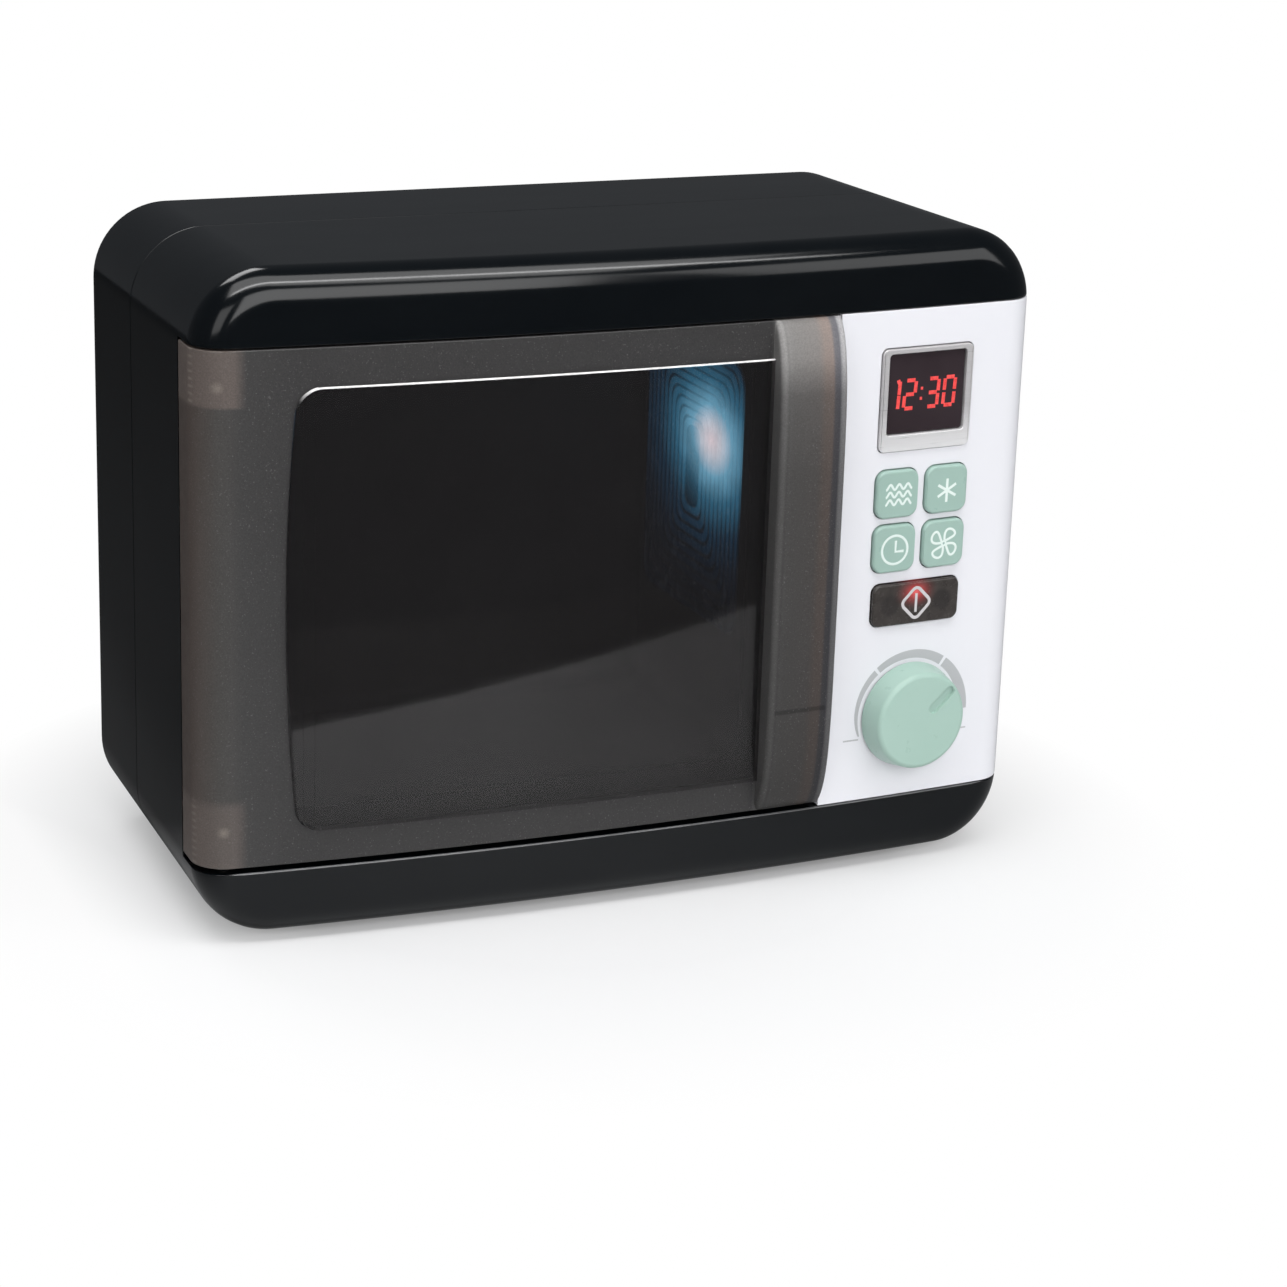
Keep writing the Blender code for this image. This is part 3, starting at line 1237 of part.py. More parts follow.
def capped(name, prism, flange_prism, rise, finish):
    """Piece that stands a little out of its opening in the panel, with a flange behind the panel."""
    item = as_object(name, envelope(-rise), finish)
    keep(item, prism, "outline")
    front = PANEL_WALL + CLEARANCE
    flange = as_object(f"{name}_flange", envelope(front))
    keep(flange, flange_prism, "outline")
    combine(item, flange, "UNION")
    return cut(item, envelope(front + FLANGE_THICKNESS), "back")


def display_bezel():
    """Silver frame of the display."""
    outline = (BEZEL_WIDTH, BEZEL_BOTTOM, BEZEL_TOP, BEZEL_RADIUS)
    flange = control_prism(*outline, BEZEL_FLANGE)
    item = capped("display_bezel", control_prism(*outline), flange, BEZEL_RISE, silver_plastic())
    opening = control_prism(DISPLAY_WIDTH, DISPLAY_BOTTOM, DISPLAY_TOP, DISPLAY_RADIUS, CLEARANCE)
    return cut(item, opening, "window")


def display_window():
    """Dark lens in front of the digits."""
    prism = control_prism(DISPLAY_WIDTH, DISPLAY_BOTTOM, DISPLAY_TOP, DISPLAY_RADIUS)
    return layer("display_window", DISPLAY_SINK, DISPLAY_SINK + DISPLAY_THICKNESS, prism, dark_lens())


def stem(x, height):
    """Post from the back of a button towards the board."""
    start = PANEL_WALL + FLANGE_THICKNESS / 2 - bow(x)
    return rod("Y", (x, start, level(height)), stem_end() - start, BUTTON_STEM_RADIUS, 12)


def square_buttons():
    """Four mint buttons, each with a retaining flange and a stem."""
    for name, x, height in button_places():
        flange = button_prism(x, height, BUTTON_FLANGE)
        item = capped(name, button_prism(x, height), flange, BUTTON_RISE, mint_plastic())
        join(item, stem(x, height), "stem")
        place_origin(item, (x, -bow(x), level(height)))


def dome_top():
    """Y of the rubber domes' tops, which the pressed stems just reach."""
    return BOARD_FRONT - CLEARANCE - PAD_THICKNESS - DOME_HEIGHT


def stem_end():
    return dome_top() - BUTTON_TRAVEL - CLEARANCE


def start_button():
    """Wide smoky start button, lit from behind, on two stems."""
    outline = (START_WIDTH, START_BOTTOM, START_TOP, START_RADIUS)
    flange = control_prism(*outline, BUTTON_FLANGE)
    item = capped("start_button", control_prism(*outline), flange, BUTTON_RISE, ruby_smoke())
    for side, name in ((-1, "left_stem"), (1, "right_stem")):
        join(item, stem(CONTROL_X + side * START_STEM_SPACING / 2, START_MIDDLE), name)
    place_origin(item, (CONTROL_X, -bow(CONTROL_X), level(START_MIDDLE)))
    return item


def board_hole_places():
    """Centres, in X and Z, of the circuit board's four fixing holes."""
    side = BOARD_WIDTH / 2 - BOARD_HOLE_INSET
    bottom = level(BOARD_BOTTOM) + BOARD_HOLE_INSET
    top = level(BOARD_TOP) - BOARD_HOLE_INSET
    return [(CONTROL_X + sign * side, z) for sign in (-1, 1) for z in (bottom, top)]


def circuit_board():
    """Circuit board with its fixing holes and the sealed chip on its back."""
    low = (CONTROL_X - BOARD_WIDTH / 2, BOARD_FRONT, level(BOARD_BOTTOM))
    high = (CONTROL_X + BOARD_WIDTH / 2, BOARD_FRONT + BOARD_THICKNESS, level(BOARD_TOP))
    board = as_object("circuit_board", block(low, high), board_green())
    half, bottom = CHIP_WIDTH / 2, level(CHIP_HEIGHT_ON_BOARD) - CHIP_HEIGHT / 2
    low = (CONTROL_X - half, BOARD_FRONT + BOARD_THICKNESS / 2, bottom)
    high = (CONTROL_X + half, BOARD_FRONT + BOARD_THICKNESS + CHIP_DEPTH, bottom + CHIP_HEIGHT)
    join(board, rounded_block(low, high, "Y", CHIP_RADIUS), "chip")
    holes = bmesh.new()
    for x, z in board_hole_places():
        add_rod(holes, "Y", (x, 0, z), OVERRUN, BOSS_HOLE, BORE_STEPS)
    return cut(board, holes, "holes")


def button_mat():
    """Rubber mat on the board with a dome under each button stem."""
    back = BOARD_FRONT - CLEARANCE
    front = back - PAD_THICKNESS
    pad = control_prism(START_WIDTH, START_BOTTOM, BUTTONS_TOP, PAD_MARGIN, PAD_MARGIN, front, back)
    mat = as_object("button_mat", pad, grey_rubber())
    domes = bmesh.new()
    places = [(x, height) for _, x, height in button_places()]
    places += [(CONTROL_X + side * START_STEM_SPACING / 2, START_MIDDLE) for side in (-1, 1)]
    rise = DOME_HEIGHT + PAD_THICKNESS / 2
    for x, height in places:
        add_rod(domes, "Y", (x, dome_top(), level(height)), rise, DOME_TOP_RADIUS, BOSS_STEPS, DOME_RADIUS)
    join(mat, domes, "domes")
    radius = LED_RADIUS + LED_RIM + CLEARANCE
    hole = rod("Y", (CONTROL_X, -OVERRUN, level(START_MIDDLE)), 2 * OVERRUN, radius, 16)
    return cut(mat, hole, "led_hole")


def display_module():
    """Block of seven-segment digits that stands on the board behind the dark lens."""
    back = BOARD_FRONT - CLEARANCE
    outline = (DISPLAY_WIDTH, DISPLAY_BOTTOM, DISPLAY_TOP, DISPLAY_RADIUS)
    whole = control_prism(*outline, -2 * CLEARANCE, back - DISPLAY_MODULE_DEPTH, back)
    return as_object("display_module", whole, dark_lens())


def start_led():
    """Red LED on the board behind the start button."""
    shoulder = LED_RADIUS * math.cos(math.radians(30)), LED_LENGTH - LED_RADIUS / 2
    profile = [
        (0, LED_LENGTH), shoulder, (LED_RADIUS, LED_LENGTH - LED_RADIUS),
        (LED_RADIUS, LED_RIM_HEIGHT), (LED_RADIUS + LED_RIM, LED_RIM_HEIGHT), (LED_RADIUS + LED_RIM, 0),
        (0, 0),
    ]
    foot = Matrix.Translation((CONTROL_X, BOARD_FRONT - CLEARANCE, level(START_MIDDLE)))
    place = foot @ Matrix.Rotation(math.pi / 2, 4, "X")
    return turned("start_led", profile_mesh("start_led", profile, ruby_smoke()), 14, place)


def cover_corners():
    """Low and high corners, in X and Z, of the battery cover."""
    room_x, room_z = cell_room()
    half_x, half_z = room_x + BATTERY_WALL + COVER_LAP / 2, room_z + BATTERY_WALL + COVER_LAP / 2
    middle = level(BATTERY_HEIGHT)
    return (BATTERY_X - half_x, middle - half_z), (BATTERY_X + half_x, middle + half_z + COVER_HEAD)


def cover_screw_z():
    return cover_corners()[1][1] - COVER_HEAD / 2


def cell_room():
    """Half width and half height of the space for the cells."""
    return CELL_LENGTH / 2 + CELL_NUB_LENGTH + CELL_END_ROOM, CELL_PITCH * CELL_COUNT / 2 + CLEARANCE


def box_floor():
    """Y of the inner floor of the battery box."""
    return REAR_INNER - CLEARANCE - 2 * CELL_RADIUS - 3 * CLEARANCE


def battery_box():
    """Battery box: tub with a rim behind the rear wall and a boss for the cover's screw."""
    half_x, half_z = cell_room()
    middle = level(BATTERY_HEIGHT)
    back = REAR_INNER - CLEARANCE
    floor = box_floor()
    low = (BATTERY_X - half_x - BATTERY_WALL, floor - BATTERY_WALL, middle - half_z - BATTERY_WALL)
    high = (BATTERY_X + half_x + BATTERY_WALL, back, middle + half_z + BATTERY_WALL)
    box = as_object("battery_box", block(low, high), inner_grey())
    rim_low, rim_high = cover_corners()
    rim = block((rim_low[0] - BATTERY_FLANGE, back - BATTERY_WALL, rim_low[1] - BATTERY_FLANGE),
                (rim_high[0] + BATTERY_FLANGE, back, rim_high[1] + BATTERY_FLANGE))
    join(box, rim, "rim")
    boss_z = cover_screw_z()
    boss_back = back - BOX_BOSS_LENGTH
    boss_length = BOX_BOSS_LENGTH - BATTERY_WALL / 2
    join(box, rod("Y", (BATTERY_X, boss_back, boss_z), boss_length, COVER_BOSS_RADIUS, 20), "boss")
    join(box, block((BATTERY_X - BATTERY_WALL, boss_back, high[2] - BATTERY_WALL / 2),
                    (BATTERY_X + BATTERY_WALL, boss_back + boss_length, boss_z)), "web")
    low = (BATTERY_X - half_x, floor, middle - half_z)
    high = (BATTERY_X + half_x, back + OVERRUN, middle + half_z)
    cut(box, block(low, high), "pocket")
    seat = back - COVER_BOSS_DEPTH - CLEARANCE
    cut(box, rod("Y", (BATTERY_X, seat, boss_z), OVERRUN, COVER_BOSS_RADIUS - CLEARANCE, 20), "seat")
    pilot = rod("Y", (BATTERY_X, seat - COVER_SCREW_LENGTH, boss_z), OVERRUN, BOSS_HOLE, BORE_STEPS)
    return cut(box, pilot, "pilot")


def cell_heights():
    """World heights of the cells' axes."""
    middle = level(BATTERY_HEIGHT)
    return [middle + (index - (CELL_COUNT - 1) / 2) * CELL_PITCH for index in range(CELL_COUNT)]


def batteries():
    """Three cells lying side by side, each turned the other way."""
    y = box_floor() + CLEARANCE + CELL_RADIUS
    half = CELL_LENGTH / 2
    data = profile_mesh("battery", [
        (0, half + CELL_NUB_LENGTH), (CELL_NUB_RADIUS, half + CELL_NUB_LENGTH), (CELL_NUB_RADIUS, half),
        (CELL_RADIUS, half), (CELL_RADIUS, -half), (0, -half),
    ], silver_plastic())
    for index, z in enumerate(cell_heights()):
        turn = ALONG["X"] if index % 2 else ALONG["X"] @ Matrix.Rotation(math.pi, 4, "X")
        turned(f"battery_{index + 1}", data, 16, Matrix.Translation((BATTERY_X, y, z)) @ turn)


def battery_contacts():
    """Domed spring contact at each end of each cell."""
    room_x, room_z = cell_room()
    y = box_floor() + CLEARANCE + CELL_RADIUS
    for end, nub_room in (("nub", CELL_NUB_LENGTH), ("base", 0)):
        reach = room_x - CELL_LENGTH / 2 - nub_room - 2 * CLEARANCE
        tip, dome = CONTACT_WIDTH * CONTACT_TIP_SHARE, CONTACT_WIDTH * CONTACT_DOME_SHARE
        data = profile_mesh(f"{end}_contact", [
            (0, reach), (tip, reach), (dome, CONTACT_THICKNESS),
            (CONTACT_WIDTH / 2, CONTACT_THICKNESS), (CONTACT_WIDTH / 2, 0), (0, 0),
        ], steel())
        for index, z in enumerate(cell_heights()):
            side = 1 if (index % 2 == 1) == (end == "nub") else -1
            turn = ALONG["X"] if side < 0 else ALONG["X"] @ Matrix.Rotation(math.pi, 4, "X")
            place = Matrix.Translation((BATTERY_X + side * (room_x - CLEARANCE), y, z)) @ turn
            turned(f"{end}_contact_{index + 1}", data, 8, place)


def battery_cover():
    """Flush cover of the battery opening, with a screw well at its head."""
    low, high = cover_corners()
    corners = (low[0], REAR_INNER, low[1]), (high[0], BODY_DEPTH, high[1])
    plate = rounded_block(*corners, "Y", COVER_RADIUS - CLEARANCE)
    cover = as_object("battery_cover", plate, gloss_black())
    seat = REAR_INNER - CLEARANCE - COVER_BOSS_DEPTH
    z = cover_screw_z()
    radius = COVER_BOSS_RADIUS - 2 * CLEARANCE
    join(cover, rod("Y", (BATTERY_X, seat, z), BODY_DEPTH - WALL / 2 - seat, radius, 20), "boss")
    well = BODY_DEPTH - SCREW_HEAD_HEIGHT - CLEARANCE
    cut(cover, rod("Y", (BATTERY_X, well, z), OVERRUN, SCREW_HEAD_RADIUS + CLEARANCE, 14), "well")
    cut(cover, rod("Y", (BATTERY_X, seat - OVERRUN, z), 2 * OVERRUN, BOSS_HOLE, BORE_STEPS), "bore")
    screws("cover_screw", COVER_SCREW_LENGTH, [(BATTERY_X, well + CLEARANCE, z)])
    return cover


def speaker():
    """Small loudspeaker in its ring, facing the grille: magnet, basket, rim and a sunk cone."""
    radius_shares = (0, 0.35, 0.88, 1, 1, 0.95, 0.75, 0.55, 0.55, 0)
    depth_shares = (0.82, 0.75, 1, 1, 0.85, 0.85, 0.5, 0.4, 0, 0)
    profile = [(SPEAKER_RADIUS * r, SPEAKER_DEPTH * d) for r, d in zip(radius_shares, depth_shares)]
    foot = Matrix.Translation((BATTERY_X, REAR_INNER - CLEARANCE - SPEAKER_DEPTH, level(SPEAKER_HEIGHT)))
    data = profile_mesh("speaker", profile, inner_grey())
    return turned("speaker", data, SPEAKER_STEPS, foot @ ALONG["Y"])


def wire(name, start, end, colour):
    """Wire that leaves its two ends along Y and sags between them."""
    start, end = Vector(start), Vector(end)
    bend = Vector((0, (end.y - start.y) / 3, 0))
    sag = Vector((0, 0, WIRE_SAG))
    middle_a, middle_b = start + bend - sag, end - bend - sag
    data = bpy.data.curves.new(name, "CURVE")
    data.dimensions = "3D"
    data.bevel_depth = WIRE_RADIUS
    data.bevel_resolution = 1
    data.use_fill_caps = True
    line = data.splines.new("POLY")
    line.points.add(WIRE_STEPS)
    for step, point in enumerate(line.points):
        t = step / WIRE_STEPS
        near = start * (1 - t) ** 3 + middle_a * 3 * t * (1 - t) ** 2
        far = middle_b * 3 * t ** 2 * (1 - t) + end * t ** 3
        point.co = (*(near + far), 1)
    data.materials.append(material(f"{name}_insulation", colour, 0.5))
    item = bpy.data.objects.new(name, data)
    bpy.data.collections["toy_microwave"].objects.link(item)
    return item


def wires():
    """Pairs of wires from the battery box and the speaker to the back of the circuit board."""
    board_y = BOARD_FRONT + BOARD_THICKNESS + CLEARANCE
    box_y = box_floor() - BATTERY_WALL - CLEARANCE
    speaker_y = REAR_INNER - SPEAKER_DEPTH - 2 * CLEARANCE
    for side, name, colour in ((-1, "red", (0.6, 0.03, 0.03)), (1, "black", (0.02, 0.02, 0.02))):
        x = CONTROL_X + side * WIRE_SPACING
        start, end = (x, board_y, level(START_MIDDLE)), (x, box_y, level(BATTERY_HEIGHT))
        wire(f"battery_wire_{name}", start, end, colour)
        x = BATTERY_X + side * WIRE_SPACING / 2
        start, end = (x, board_y, level(BUTTON_ROWS_HEIGHT)), (x, speaker_y, level(SPEAKER_HEIGHT))
        wire(f"speaker_wire_{name}", start, end, colour)


def fasteners():
    """Screws of the housing, the control panel and the circuit board."""
    seat = SEAM_DEPTH + WELL_SEAT + CLEARANCE
    screws("housing_screw", HOUSING_SCREW_LENGTH, [(x, seat, z) for x, z in boss_places()])
    seat = BULKHEAD_BACK + CLEARANCE
    screws("panel_screw", PANEL_SCREW_LENGTH, [(x, seat, z) for x, z in panel_boss_places()])
    seat = BOARD_FRONT + BOARD_THICKNESS + CLEARANCE
    screws("board_screw", BOARD_SCREW_LENGTH, [(x, seat, z) for x, z in board_hole_places()])


def feet():
    """Four rubber feet whose tops follow the sloping underside, each with a peg into the housing."""
    places = (
        ("front_left_foot", -FOOT_SPREAD, FOOT_FRONT), ("front_right_foot", FOOT_SPREAD, FOOT_FRONT),
        ("rear_left_foot", -FOOT_SPREAD, FOOT_REAR), ("rear_right_foot", FOOT_SPREAD, FOOT_REAR),
    )
    for name, x, y in places:
        item = as_object(name, rod("Z", (x, y, 0), FOOT_PEG_HEIGHT, FOOT_RADIUS, FOOT_STEPS), grey_rubber())
        cut(item, envelope(-CLEARANCE), "underside")
        join(item, rod("Z", (x, y, GROUND_GAP / 4), FOOT_PEG_HEIGHT, FOOT_PEG_RADIUS, 8), "peg")


def stand_on_origin():
    """Move everything so that the origin lies at the middle of the base."""
    bpy.context.view_layer.update()
    graph = bpy.context.evaluated_depsgraph_get()
    points = []
    for item in bpy.data.collections["toy_microwave"].objects:
        solid = item.evaluated_get(graph)
        points += [item.matrix_world @ vert.co for vert in solid.to_mesh().vertices]
        solid.to_mesh_clear()
    low = [min(point[axis] for point in points) for axis in range(3)]
    high = [max(point[axis] for point in points) for axis in range(3)]
    for item in bpy.data.objects:
        item.location -= Vector(((low[0] + high[0]) / 2, (low[1] + high[1]) / 2, low[2]))


def main():
    clear_scene()
    front_shell()
    rear_shell()
    cavity_liner()
    lamp_lens()
    lamp()
    door()
    hinge_pins()
    door_catch()
    control_panel()
    display_bezel()
    display_window()
    square_buttons()
    start_button()
    knob()
    knob_collar()
    knob_screw()
    click_spring()
    circuit_board()
    button_mat()
    display_module()
    start_led()
    battery_box()
    batteries()
    battery_contacts()
    battery_cover()
    speaker()
    wires()
    fasteners()
    feet()
    stand_on_origin()


main()
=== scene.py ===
import math

import bmesh
import bpy
from mathutils import Matrix, Vector


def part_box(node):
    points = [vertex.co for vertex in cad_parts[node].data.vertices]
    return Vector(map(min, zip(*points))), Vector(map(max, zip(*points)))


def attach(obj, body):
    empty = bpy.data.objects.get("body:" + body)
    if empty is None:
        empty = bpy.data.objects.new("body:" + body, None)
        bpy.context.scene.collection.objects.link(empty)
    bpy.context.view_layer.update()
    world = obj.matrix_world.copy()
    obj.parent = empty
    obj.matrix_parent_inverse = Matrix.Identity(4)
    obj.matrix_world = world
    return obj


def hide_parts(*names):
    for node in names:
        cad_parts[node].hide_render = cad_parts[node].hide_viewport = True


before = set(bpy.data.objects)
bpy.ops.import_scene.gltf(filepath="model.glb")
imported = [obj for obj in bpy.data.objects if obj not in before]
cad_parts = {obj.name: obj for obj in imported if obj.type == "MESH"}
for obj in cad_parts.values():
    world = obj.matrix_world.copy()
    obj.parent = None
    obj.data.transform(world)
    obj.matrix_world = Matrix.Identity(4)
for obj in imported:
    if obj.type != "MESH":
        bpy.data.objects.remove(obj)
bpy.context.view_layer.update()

# Sizes of the toy in metres. Pieces are modelled with the front edge of the sides at Y zero,
# standing on the ground at Z zero, and each is moved back on to the CAD model when it is finished.
# Heights are measured from the underside. MOUTH and PANE are given as left, right, low and high,
# WINDOW as front, back, low and high, and BEZEL, DISPLAY and START as width, low and high.

# Housing
WIDTH = 0.302
HEIGHT = 0.2256
DEPTH = 0.1355
GROUND = 0.002
CORNER = 0.0265
FRONT_FILLET = 0.011
REAR_FILLET = 0.0027
BOW = 0.0073
TAPER = 0.0028
WALL = 0.0024
SEAM = 0.0815
GAP = 0.0003
OVER = 0.02
TINY = 0.00001
FORM_STEPS = 64
CORNER_STEPS = 20
RECESS_LOW = 0.0243
RECESS_HIGH = 0.2012
RECESS_DEPTH = 0.0201
LEDGE_RADIUS = 0.0007
HINGE_X = -0.1398
HINGE_Y = 0.010
TROUGH = 0.01505
BULKHEAD_CUT = (0.01, 0.03)
BAY_INSET = 0.012
BAY_RADIUS = 0.006
CATCH_SLOT = (0.0041, 0.0021)
CATCH_PLAY = 0.0012
BOSS_RADIUS = 0.0046
WELL_RADIUS = 0.0031
WELL_FLOOR = 0.0145
SCREW_BORE = 0.0017
COVER_RADIUS = 0.004
SPEAKER_X = 0.101
SPEAKER_HEIGHT = 0.150
GRILLE_RADIUS = 0.0165
SLOT_ROWS = 7
SLOT_PITCH = 0.0047
SLOT_HALF = 0.0011
SLOT_RADIUS = 0.00105

# Cavity and lens
MOUTH = (-0.117, 0.053, 0.036, 0.192)
MOUTH_RADIUS = 0.009
CAVITY_FRONT = 0.0228
CAVITY_BACK = 0.116
CAVITY_WALL = 0.0018
CAVITY_DRAFT = 0.0012
CAVITY_CORNER = 0.006
FLANGE = 0.0042
WINDOW = (0.028, 0.108, 0.078, 0.176)
WINDOW_RADIUS = 0.008
LENS_PLATE = 0.0012
LENS_LIP = 0.003
RIBS = 10
RIB_PITCH = 0.0035
RIB_WIDTH = 0.0023
RIB_DEPTH = 0.0008
RING_LIFT_SHARE = 0.12
LAMP_Y = 0.052
LAMP_HEIGHT = 0.138
HOLDER_HALF = 0.0085
HOLDER_DEPTH = 0.008
SEAT_HALF = 0.0073

# Door
DOOR_RIGHT = 0.0718
DOOR_LOW = 0.0263
DOOR_HIGH = 0.2005
DOOR_BACK = 0.0196
DOOR_EDGE = 0.0004
PANE = (-0.1184, 0.0456, 0.0374, 0.1878)
PANE_RADIUS = 0.008
PANE_RISE = 0.0012
PANE_BULGE = 0.0038
PANE_ROUNDING = 0.0009
PANE_MARGIN = 0.0008
PANE_SINK = 0.0002
GRIP_LEFT = 0.047
GRIP_RISE = 0.0093
GRIP_SINK = 0.0003
GRIP_EDGE = 0.0026
GRIP_TIGHT_EDGE = 0.0014
GRIP_WALL = 0.0022
GRIP_RIB_AT = 0.0638
GRIP_RIB = 0.0018
LUG_LENGTH = 0.0205
LUG_RADIUS = 0.0062
LOW_LUG = 0.0225
TOP_LUG = 0.0185
PIN_HOLE = 0.0023
TONGUE_X = 0.063
TONGUE_AT = 0.1125
TONGUE_END = 0.031
TONGUE_HALF = (0.0035, 0.0015)
WEB_HALF = 0.0009

# Panel
PANEL_LEFT = 0.0723
PANEL_LOW = 0.0247
PANEL_HIGH = 0.2009
PANEL_WALL = 0.0022
CONTROL_X = 0.107
BEZEL = (0.0362, 0.1514, 0.1875)
BEZEL_RADIUS = 0.0022
BEZEL_RISE = 0.0009
DISPLAY = (0.0303, 0.1575, 0.1854)
DISPLAY_RADIUS = 0.001
DISPLAY_SINK = 0.0003
DISPLAY_BACK = 0.0028
BUTTON = (0.0167, 0.017)
BUTTON_PITCH = (0.0199, 0.0196)
BUTTON_RADIUS = 0.0038
BUTTON_RISE = 0.0016
BUTTON_ROWS = 0.1265
START = (0.0349, 0.0886, 0.1038)
START_RADIUS = 0.003
START_MIDDLE = (START[1] + START[2]) / 2
CAP_BACK = 0.0037
KNOB_AT = 0.0549
KNOB_RADIUS = 0.0192
KNOB_FACE = 0.0174
KNOB_RISE = 0.010
KNOB_EDGE = 0.0016
KNOB_GAP = 0.0006
KNOB_WALL = 0.0018
KNOB_TOP = 0.0024
STEM_RADIUS = 0.005
STEM_BORE = 0.0053
STEM_BACK = 0.0088
STEM_LENGTH = 0.017
POINTER_TURN = math.radians(42)
POINTER_INSET = 0.0012
POINTER_LENGTH = 0.0118
POINTER_HALF = 0.0019
POINTER_DEPTH = 0.0013
POINTER_CORNER = 0.0018
INK = 0.00006

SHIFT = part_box("front_shell")[0][1] + BOW
MIDDLE = GROUND + HEIGHT / 2
KNOB_TILT = math.atan(8 * BOW * CONTROL_X / WIDTH ** 2)


def level(height):
    """Height above the ground of a place measured from the underside."""
    return GROUND + height


def bow(x):
    """How far the bowed front stands forward of the side edges."""
    return BOW * max(0, 1 - (2 * x / WIDTH) ** 2)


# Ways of working

def pick(item):
    """Select one object and nothing else."""
    if bpy.context.mode != "OBJECT":
        bpy.ops.object.mode_set(mode="OBJECT")
    bpy.ops.object.select_all(action="DESELECT")
    item.select_set(True)
    bpy.context.view_layer.objects.active = item


def settle(item):
    """Work an object's place, turn and size into its mesh."""
    pick(item)
    bpy.ops.object.transform_apply(location=True, rotation=True, scale=True)
    return item


def named(name):
    """Name what was just added, with its place in its mesh."""
    item = bpy.context.active_object
    item.name = item.data.name = name
    return settle(item)


def new_block(name, low, high):
    """Box between two corners."""
    bpy.ops.mesh.primitive_cube_add(size=1, location=[(a + b) / 2 for a, b in zip(low, high)])
    bpy.context.active_object.scale = [b - a for a, b in zip(low, high)]
    return named(name)


def new_rod(name, axis, centre, length, radius, steps=48):
    """Cylinder from centre along an axis."""
    turn = {"X": (0, math.pi / 2, 0), "Y": (-math.pi / 2, 0, 0), "Z": (0, 0, 0)}[axis]
    middle = Vector(centre)
    middle["XYZ".index(axis)] += length / 2
    bpy.ops.mesh.primitive_cylinder_add(vertices=steps, radius=radius, depth=length, location=middle,
                                        rotation=turn)
    return named(name)


def edit(item):
    """Go into edit mode."""
    pick(item)
    bpy.ops.object.mode_set(mode="EDIT")


def done():
    """Leave edit mode."""
    bpy.ops.object.mode_set(mode="OBJECT")


def choose(item, kind, test):
    """Select the vertices, edges or faces that pass a test, in edit mode."""
    bpy.ops.mesh.select_mode(type=kind)
    bpy.ops.mesh.select_all(action="DESELECT")
    shape = bmesh.from_edit_mesh(item.data)
    shape.normal_update()
    for part in {"VERT": shape.verts, "EDGE": shape.edges, "FACE": shape.faces}[kind]:
        if test(part):
            part.select_set(True)
    bmesh.update_edit_mesh(item.data)


def along(edge, axis):
    """Whether an edge runs along an axis."""
    line = edge.verts[1].co - edge.verts[0].co
    return abs(line["XYZ".index(axis)]) > 0.999 * line.length


def at(part, axis, place):
    """Whether a vertex, or all of an edge's or face's vertices, lies at a place on an axis."""
    verts = [part] if isinstance(part, bmesh.types.BMVert) else part.verts
    return all(abs(vert.co["XYZ".index(axis)] - place) < TINY for vert in verts)


def round_edges(item, test, radius, steps):
    """Round the edges that pass a test, in edit mode."""
    choose(item, "EDGE", test)
    bpy.ops.mesh.bevel(offset=radius, segments=steps, profile=0.5, affect="EDGES", clamp_overlap=False)


def rounded(item, axis, radius, steps):
    """Round the edges that run along an axis."""
    edit(item)
    round_edges(item, lambda edge: along(edge, axis), radius, steps)
    done()
    return item


def draw_in(size, centre):
    """Scale what is selected about a place, in edit mode."""
    bpy.ops.transform.resize(value=size, center_override=centre)


def slice_at(axis, places):
    """Bisect the whole mesh in edit mode at places on an axis."""
    normal = [float(axis == other) for other in "XYZ"]
    for place in places:
        bpy.ops.mesh.select_all(action="SELECT")
        bpy.ops.mesh.bisect(plane_co=[place * share for share in normal], plane_no=normal, threshold=TINY / 10)


def apply(item, step):
    """Work a modifier into the mesh."""
    pick(item)
    bpy.ops.object.modifier_apply(modifier=step.name)


def carve(item, tool, operation="DIFFERENCE"):
    """Boolean with a tool that is used up."""
    step = item.modifiers.new(operation.lower(), "BOOLEAN")
    step.operation = operation
    step.object = tool
    step.solver = "EXACT"
    apply(item, step)
    bpy.data.objects.remove(tool, do_unlink=True)
    return item


def swell(item, axis, field):
    """Push each vertex along an axis by a field of its place, with a weighted Displace modifier."""
    amounts = [field(vert.co) for vert in item.data.vertices]
    most = max(abs(amount) for amount in amounts)
    for sign in (1, -1):
        if not any(sign * amount > 0 for amount in amounts):
            continue
        group = item.vertex_groups.new(name="push")
        for index, amount in enumerate(amounts):
            if sign * amount > 0:
                group.add([index], sign * amount / most, "REPLACE")
        step = item.modifiers.new("push", "DISPLACE")
        step.direction = axis
        step.mid_level = 0
        step.strength = sign * most
        step.vertex_group = group.name
        apply(item, step)
        item.vertex_groups.remove(item.vertex_groups["push"])
    return item


def soften(item, width, steps=2, angle=50, clamp=False):
    """Small bevel on the sharp edges."""
    step = item.modifiers.new("soft_edges", "BEVEL")
    step.width = width
    step.segments = steps
    step.limit_method = "ANGLE"
    step.angle_limit = math.radians(angle)
    step.use_clamp_overlap = clamp
    step.miter_outer = "MITER_ARC"
    apply(item, step)
    return item


def clean(item):
    """Join the vertices that lie at one place."""
    edit(item)
    bpy.ops.mesh.select_all(action="SELECT")
    bpy.ops.mesh.remove_doubles(threshold=TINY)
    done()
    return item


